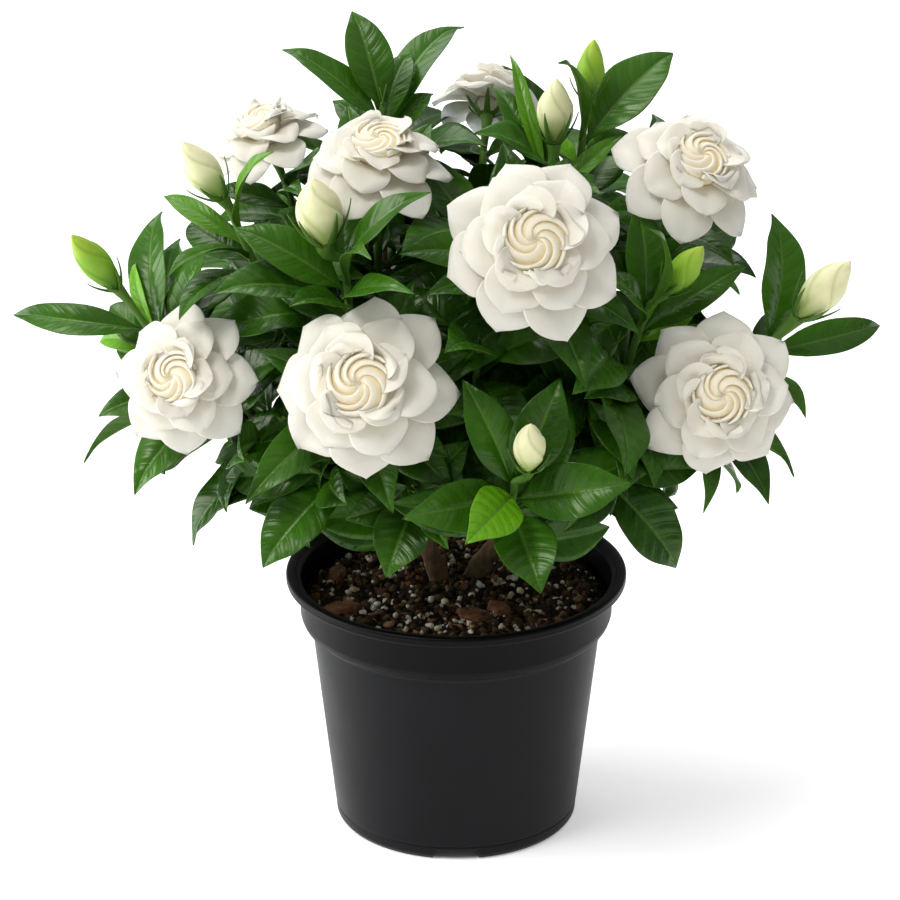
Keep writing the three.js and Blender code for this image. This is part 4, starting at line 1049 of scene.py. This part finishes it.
def flower_foot(shoot):
    """Where a stem meets its flower or bud: place, direction, radius of the calyx."""
    if shoot["kind"] == "bloom":
        at, faces, radius, _ = BLOOMS[shoot["flower"]]
        out = unit(vec(*faces))
        return vec(*at) + out * (BLOOM_FOOT * radius / BLOOM_SCALE_RADIUS - GAP), out, CALYX_RADIUS
    foot, tip, radius, _ = BUDS[shoot["flower"]]
    out = unit(vec(*tip) - vec(*foot))
    return vec(*foot) - out * GAP, out, radius * 0.44


def sepal(skin, foot, out, away, length, lean, width, bow=0.3):
    """One narrow sepal that stands round the foot of a flower and leans out a little."""
    s = np.linspace(0, 1, 9)
    t = vec(-1, -0.5, 0, 0.5, 1)
    curve = bezier(foot, foot + out * length * 0.45 + away * lean * bow, foot + out * length + away * lean, s)
    sideways = np.cross(out, away)
    half = width / 2 * (1 - s**1.6) + 0.12
    place = curve[:, None] + sideways * (t[None, :, None] * half[:, None, None])
    place = place - away * (0.25 * half[:, None, None] * t[None, :, None] ** 2)
    skin.tube(there_and_back(place, place - away * 0.45), NO_GRAIN, 0.5, 2)


def stem_skin(skin, shoot, rng):
    axis, node = shoot["axis"], shoot["curve"][-1]
    path = list(bezier(*shoot["curve"], np.linspace(0, 1, 15)))
    radii = [STEM_RADIUS * (1.05 - 0.012 * k) for k in range(15)]
    if shoot["kind"] is None:
        tip = node + axis * (STEM_TIP + 3)
        path += [node + axis * STEM_TIP, tip]
        radii += [STEM_RADIUS * 0.9, STEM_RADIUS * 0.6]
        places, sizes = spline(path, radii, 2)
        skin.tube(tube_rings(places, sizes, 10), NO_GRAIN, 0.4, 2)
        terminal_bud(skin, tip - axis, axis, rng)
        return
    end, out, radius = flower_foot(shoot)
    reach = np.linalg.norm(end - node) - STEM_TIP
    path += [node + axis * STEM_TIP, end - out * 0.45 * reach, end]
    radii += [STEM_RADIUS * 0.85, radius * 0.6, radius]
    places, sizes = spline(path, radii, 3)
    skin.tube(tube_rings(places, sizes, 12), NO_GRAIN, 0.6, 2)
    side = square(vec(0, 0, 1) if abs(out[2]) < 0.9 else vec(1, 0, 0), out)
    other = np.cross(out, side)
    bloom = shoot["kind"] == "bloom"
    for k in range(6):
        turn = TURN * (k + rng.uniform(-0.15, 0.15)) / 6
        away = spoke(side, other, turn)
        length = rng.uniform(7, 11) if bloom else radius * rng.uniform(3.0, 4.6)
        lean = rng.uniform(8, 11) if bloom else radius * rng.uniform(1.9, 2.5)
        sepal(skin, end - out * 1.5 + away * radius * 0.95, out, away, length, lean, radius * 0.85, 0.75)


def terminal_bud(skin, foot, axis, rng):
    """Two small leaves still folded together at a stem's end."""
    side = square(rng.normal(size=3), axis)
    for sign in (-1, 1):
        sepal(skin, foot + side * sign * 0.3, axis, side * sign, rng.uniform(8, 12), 1.6, 3.4)


# Tips of the young leaves, which are a brighter green.
BRIGHT_LEAVES = [(5, -140, 204), (-130, -2, 281), (-153, 2, 289), (-172, 2, 247), (114, -16, 274),
                 (34, 40, 341), (131, 1, 259)]
# Tones: 0 is an old dark leaf and 1 the youngest.
BRIGHT = 0.97
YOUNGER = 0.14
SMALL_LEAF = 15
SMALL_LEAF_YOUNGER = 0.3
OLDEST_TONES = (0, 0.25)


def make_shoot(name, shoot, rng):
    skin = Skin()
    points = node_points(f"shoot_{name}")
    budding = YOUNGER * (shoot["kind"] == "bud")
    for leaf in shoot["leaves"]:
        placed = as_built(leaf, points)
        if placed is None:
            continue
        tone = rng.uniform(0.0, 0.38) + budding + (SMALL_LEAF_YOUNGER if placed.width < SMALL_LEAF else 0.0)
        if any(np.linalg.norm(leaf.tip - vec(*tip)) < 1 for tip in BRIGHT_LEAVES):
            tone = BRIGHT
        leaf_blade(skin, placed, min(tone, 1.0), rng)
    for leaf in under_leaves(shoot, rng):
        leaf_blade(skin, leaf, rng.uniform(*OLDEST_TONES), rng, UNDER_ROWS_PER_VEIN, UNDER_COLUMNS)
    stem_skin(skin, shoot, rng)
    skin.build(f"leaves_{name}", [LEAF, LEAF_UNDER, GREEN_STEM], "leaf", [f"shoot_{name}"])


# ---------------------------------------------------------------- wood


def make_wood(shoots):
    skin = Skin()

    def branch(points, radii, steps, sides):
        places, sizes = spline(points, radii, steps)
        knots = 1 + 0.06 * np.sin(np.arange(len(sizes)) * 1.9)
        skin.tube(tube_rings(places, sizes * knots, sides), NO_GRAIN, 0.15)

    for points, radius in TRUNKS:
        branch(points, [radius * 1.15, radius * 1.1, radius * 0.95, radius * 0.75], 8, 18)
    forks = []
    for trunk, start, points in LIMBS:
        low, middle, high = (vec(*p) for p in TRUNKS[trunk][0][1:])
        root = low + (middle - low) * 2 * start if start < 0.5 else middle + (high - middle) * (2 * start - 1)
        path = [root, *(vec(*p) for p in points)]
        branch(path, [LIMB_RADIUS * 1.15, LIMB_RADIUS, LIMB_RADIUS * 0.8], 8, 12)
        for k in range(FORKS + 1):
            along = 0.3 + 1.7 * k / FORKS
            forks.append(path[0] + (path[1] - path[0]) * along if along < 1
                         else path[1] + (path[2] - path[1]) * (along - 1))
    for shoot in shoots:
        out = bezier_tangent(*shoot["curve"], 0)
        end = shoot["curve"][0] - out * GAP
        nearest = min(range(len(forks)), key=lambda k: np.linalg.norm(forks[k] - end))
        start = forks.pop(nearest)
        bend = end - out * 0.45 * np.linalg.norm(start - end)
        path = bezier(start, bend, end, np.linspace(0, 1, 12))
        radii = np.linspace(TWIG_RADIUS * 1.2, TWIG_RADIUS * 0.95, 12)
        skin.tube(tube_rings(path, radii, 10), NO_GRAIN, 0.3)
        shoot["twig"] = path
    skin.build("bark_wood", [BARK], "bark", ["wood"])


# ---------------------------------------------------------------- blooms

# Whorls for a bloom of radius 45: root, pull and tip as distance from the axis and height, then width,
# how far one edge stands over the next petal, inward cup and turn. The outer three are as in the part;
# the inmost is wider and stands round the heart.
WHORLS = [
    ([7, 0], [26, 8], [45, -6], 31, 0.18, 0.02, 0),
    ([7, 5.5], [19, 16.5], [36, 8], 28, 0.2, 0.12, 0.5),
    ([5.8, 10], [13, 21.5], [26, 17], 23, 0.28, 0.25, 0.2),
    ([13.5, 11], [15.2, 22.5], [22, 20.5], 20, 0.3, 0.3, 0.6),
]
PETAL_COLUMNS = vec(-1, -0.95, -0.82, -0.62, -0.4, -0.2, 0, 0.2, 0.4, 0.62, 0.82, 0.95, 1)
PETAL_ROWS = 17
PETAL_SHEET = 0.75


def petal_width(s):
    """Half a petal's width over its length: a narrow foot, broad shoulders and a soft point."""
    wide = 0.58
    low = 0.3 + 0.7 * np.sin(math.pi / 2 * np.clip(s / wide, 0, 1)) ** 1.1
    high = (1 - np.clip((s - wide) / (1 - wide), 0, 1) ** 1.9) ** 0.78
    return np.where(s < wide, low, high)


def petal(skin, place, out, plan, angle, scale, tones, rng):
    root, pull, tip, width, lean, cup, _ = plan
    tip = [tip[0] * rng.uniform(0.94, 1.03), tip[1] + rng.uniform(-2.5, 2)]
    angle = angle + rng.uniform(-0.07, 0.07)
    root, pull, tip = (place(far, high, angle) for far, high in (root, pull, tip))
    around = unit(np.cross(out, place(1, 0, angle) - place(0, 0, 0)))
    s = np.linspace(0, 1, PETAL_ROWS)[:, None]
    t = PETAL_COLUMNS[None, :]
    side = np.abs(t)
    middle = bezier(root, pull, tip, s)
    tangent = bezier_tangent(root, pull, tip, s)
    face = unit(np.cross(tangent, around))
    half = width / 2 * scale * (petal_width(s) * 0.985 + 0.015)
    phase = rng.uniform(0, TURN, 2)
    wave = np.sin(TURN * 1.15 * s + np.where(t < 0, phase[0], phase[1]))
    roll = rng.uniform(0.12, 0.3)
    fold = rng.uniform(0.5, 1.3)
    lift = half * (cup * t**2 - lean * t - roll * side**4 * smooth(0.35, 0.95, s))
    lift = lift + scale * (1.5 * wave * side**1.7 * smooth(0.3, 0.85, s)
                           - fold * np.exp(-(t / 0.3) ** 2) * np.sin(math.pi * s)
                           - rng.uniform(0.5, 3.2) * smooth(0.66, 1, s) ** 1.6)
    sway = scale * rng.uniform(-1.6, 1.6) * s**2
    sheet = middle + around * (t * half + sway)[..., None] + face * lift[..., None]
    thick = PETAL_SHEET * scale * (1 - 0.5 * t**2) * (1.4 - 0.9 * s)
    under = sheet - face * thick[..., None]
    tone = tones[1] + (tones[0] - tones[1]) * (1 - s) ** 1.3
    skin.tube(there_and_back(under, sheet), (s, np.append(PETAL_COLUMNS, PETAL_COLUMNS[::-1])), tone)


# The heart: furled petals that wind in to the middle, as one rippled cap. RIM gives one petal's section:
# share of the turn to the next petal, and share of the rim's height.
HEART_ARMS = 7
HEART_RADIUS = 14
HEART_TURN = 2.7
HEART_TOP = 20.6
HEART_FOOT = [(4, 9), (-0.6, 3)]  # the first two rings: how far inward, and how far down
RIM = [(0.0, 0.0), (-0.05, 0.4), (-0.1, 0.75), (-0.08, 0.93), (0.0, 1.0), (0.1, 0.99), (0.22, 0.9),
       (0.36, 0.72), (0.52, 0.5), (0.68, 0.3), (0.84, 0.12), (0.95, 0.02)]


def make_heart(skin, place, spin, rng):
    a = np.concatenate([[0, 0, 0], np.linspace(0, 0.97, 26)])[:, None]
    far = HEART_RADIUS * (1 - a) ** 0.9 + 0.3
    arm = np.repeat(np.arange(HEART_ARMS), len(RIM))[None, :]
    step, rise = (np.tile(column, HEART_ARMS)[None, :] for column in np.array(RIM).T)
    starts = (np.arange(HEART_ARMS) + rng.uniform(-0.2, 0.2, HEART_ARMS)) / HEART_ARMS
    gaps = np.diff(np.append(starts, starts[0] + 1))
    tall = rng.uniform(0.7, 1.35, HEART_ARMS)
    turn = spin + TURN * (starts[arm] + step * gaps[arm]) + HEART_TURN * a**0.8
    ripple = (0.7 + 2.2 * (1 - a) ** 1.2) * tall[arm] * smooth(1.0, 0.85, a)
    high = HEART_TOP - 3.6 * (1 - a) ** 1.7 - 1.6 * smooth(0.75, 1, a) + ripple * rise
    far = far * (1 + 0.10 * rise * (1 - a))
    for row, (inward, down) in enumerate(HEART_FOOT):
        far[row] -= inward
        high[row] -= down
    rings = np.array([[place(far[i, j], high[i, j], turn[i, j]) for j in range(turn.shape[1])]
                      for i in range(len(a))])
    tone = np.clip(0.12 + 0.75 * (1 - rise) ** 1.4 + 0.25 * a, 0, 0.9)
    skin.tube(rings, (a, rise * 0.3), tone)


# The body under the heart: distance from the axis and height, up from the calyx.
BODY = [(5, -6), (9, 0), (13, 7), (15, 12), (14.6, 15), (11.5, 17), (6.5, 18.2), (1.2, 18.6)]


def make_bloom(name, number, rng):
    at, faces, radius, whorls = BLOOMS[name]
    scale = radius / BLOOM_SCALE_RADIUS
    out, side, other = face_axes(faces)
    centre = vec(*at)

    def place(far, high, angle):
        return centre + out * (high * scale) + spoke(side, other, angle) * (far * scale)

    skin = Skin()
    spin = BLOOM_TURN * number
    tones = [(0.18, 0.0), (0.24, 0.0), (0.36, 0.03), (0.46, 0.08)]
    for w, (plan, count) in enumerate(zip(WHORLS, whorls)):
        for k in range(count):
            petal(skin, place, out, plan, spin + (k + plan[6]) * TURN / count, scale, tones[w], rng)
    make_heart(skin, place, spin, rng)
    body = [(CALYX_RADIUS / scale, BLOOM_FOOT), *BODY]
    angles = TURN * np.arange(24) / 24
    rings = np.array([[place(far, high, a) for a in angles] for far, high in body])
    skin.tube(rings, NO_GRAIN, np.interp(range(len(body)), [0, 2, 4], [0.3, 0.4, 0.9])[:, None])
    skin.build(f"petals_{name}", [PETAL], "petal", [f"bloom_{name}"])


# ---------------------------------------------------------------- buds

BUD_FOLDS = 4
BUD_TWIST = 1.3


def make_bud(name):
    foot, tip, radius, green = BUDS[name]
    foot, tip = vec(*foot), vec(*tip)
    length = tip - foot
    _, side, other = face_axes(length)
    s = np.concatenate([np.linspace(0, 0.9, 34), np.linspace(0.92, 1, 7)])
    shape = np.interp(s, [0, 0.12, 0.36, 0.5, 0.66, 0.8, 0.9, 0.97, 1],
                      [0.42, 0.72, 0.99, 1.0, 0.86, 0.62, 0.38, 0.17, 0.05])
    shape = np.convolve(np.pad(shape, 2, mode="edge"), np.ones(5) / 5, "valid")
    column = np.arange(60) / 60
    twist = BUD_TWIST * s * (0.6 + 0.6 * s)
    angle = TURN * (column[None, :] - twist[:, None] / BUD_FOLDS)
    fold = (column * BUD_FOLDS) % 1
    ridge = fold**1.3 * (1 - smooth(0.9, 1.0, fold))
    swell = 0.93 + 0.1 * ridge[None, :] * smooth(0.02, 0.3, s)[:, None]
    size = radius * shape[:, None] * swell
    rings = (foot + s[:, None, None] * length + side * (size * np.cos(angle))[..., None]
             + other * (size * np.sin(angle))[..., None])
    skin = Skin()
    crease = (1 - smooth(0.0, 0.22, fold)) * 0.7
    skin.tube(rings, (s[:, None], column), crease)
    skin.build(f"furled_{name}", [GREEN_BUD if green else CREAM_BUD], "bud_green" if green else "bud_cream",
               [f"bud_{name}"])


# ---------------------------------------------------------------- the plant

rng = np.random.default_rng(SEED)
draw = Draw()
shoots = {name: planned_shoot(name, plan) for name, plan in SHOOTS.items()}
shoots.update({name: fill_shoot(plan, draw) for name, plan in FILL_SHOOTS.items()})

make_pot()
make_soil(rng)
for name, grains in GRAINS.items():
    scatter(rng, name, *grains)
for name, plan in CHIPS.items():
    make_chip(name, plan, rng)
make_wood(list(shoots.values()))
for number, name in enumerate(BLOOMS):
    make_bloom(name, number, rng)
for name in BUDS:
    make_bud(name)
for name, shoot in shoots.items():
    make_shoot(name, shoot, rng)

# ---------------------------------------------------------------- floor, light and camera


SKY_STRENGTH = (0.14, 0.74)  # at and below the horizon, and overhead
FLOOR_HALF = 6.0
FLOOR_GLOW = 0.4
FOOT_SHADE = (0.0535, 0.0585)  # where the floor's glow begins, just inside the pot's foot
CAMERA_PLACE = (-0.003, -2.5, 1.237)
CAMERA_TARGET = (-0.003, 0, 0.191)
LENS = 225.6
SENSOR = 36


def make_floor():
    m = Finish("studio_floor")
    m.set(Base_Color=m.mix(m.ramp(m.noise(0.5), 0.3, 0.7), (0.85, 0.85, 0.85), (0.86, 0.86, 0.86)))
    m.set(Roughness=0.9, Specular_IOR_Level=0.1)
    x, y = m.add("ShaderNodeSeparateXYZ", {0: m.place()}).outputs[:2]
    far = m.maths("SQRT", m.plus(m.times(x, x), m.times(y, y)))
    m.set(Emission_Color=m.mix(m.ramp(far, *FOOT_SHADE), (0.02, 0.02, 0.02), (1, 1, 1)))
    m.set(Emission_Strength=FLOOR_GLOW)
    mesh = bpy.data.meshes.new("floor")
    corners = [(x * FLOOR_HALF, y * FLOOR_HALF, 0) for x, y in ((-1, -1), (1, -1), (1, 1), (-1, 1))]
    mesh.from_pydata(corners, [], [(0, 1, 2, 3)])
    mesh.materials.append(m.material)
    floor = in_scene("floor", mesh)


def aim(thing, place, target):
    thing.location = place
    way = Vector([t - p for t, p in zip(target, thing.location)])
    thing.rotation_euler = way.to_track_quat("-Z", "Y").to_euler()


def lamp(name, kind, place, target, power, **settings):
    light = with_settings(bpy.data.lights.new(name, kind), energy=power, **settings)
    aim(in_scene(name, light), place, target)


def make_camera():
    camera = with_settings(bpy.data.cameras.new("photo_view"), lens=LENS, sensor_width=SENSOR, clip_end=20)
    eye = in_scene("photo_view", camera)
    aim(eye, CAMERA_PLACE, CAMERA_TARGET)
    bpy.context.scene.camera = eye


def make_world():
    """Soft light from all sides that is strongest from above."""
    world = bpy.data.worlds.new("studio")
    bpy.context.scene.world = world
    world.use_nodes = True
    sky = world.node_tree
    way = sky.nodes.new("ShaderNodeTexCoord").outputs["Generated"]
    split = feed(sky, sky.nodes.new("ShaderNodeSeparateXYZ"), {0: way})
    low, high = SKY_STRENGTH
    rise = feed(sky, sky.nodes.new("ShaderNodeMapRange"),
                {0: split.outputs[2], 1: 0.0, 2: 1.0, 3: low, 4: high})
    feed(sky, sky.nodes["Background"], {"Strength": rise.outputs[0], "Color": (1, 1, 1, 1)})


make_floor()
# A far and broad key that is even over the floor, with soft shadows, and two softboxes.
lamp("key", "SUN", (-0.6, -0.45, 1.1), (0, 0, 0), 1.6, angle=math.radians(24))
lamp("left_softbox", "AREA", (-1.4, 0.1, 0.45), (0, 0, 0.1), 16, shape="SQUARE", size=0.9)
lamp("back_softbox", "AREA", (-0.3, 0.75, 1.35), (0, 0, 0.25), 9, shape="SQUARE", size=0.9)
make_world()
bpy.context.scene.view_settings.view_transform = "Standard"
make_camera()
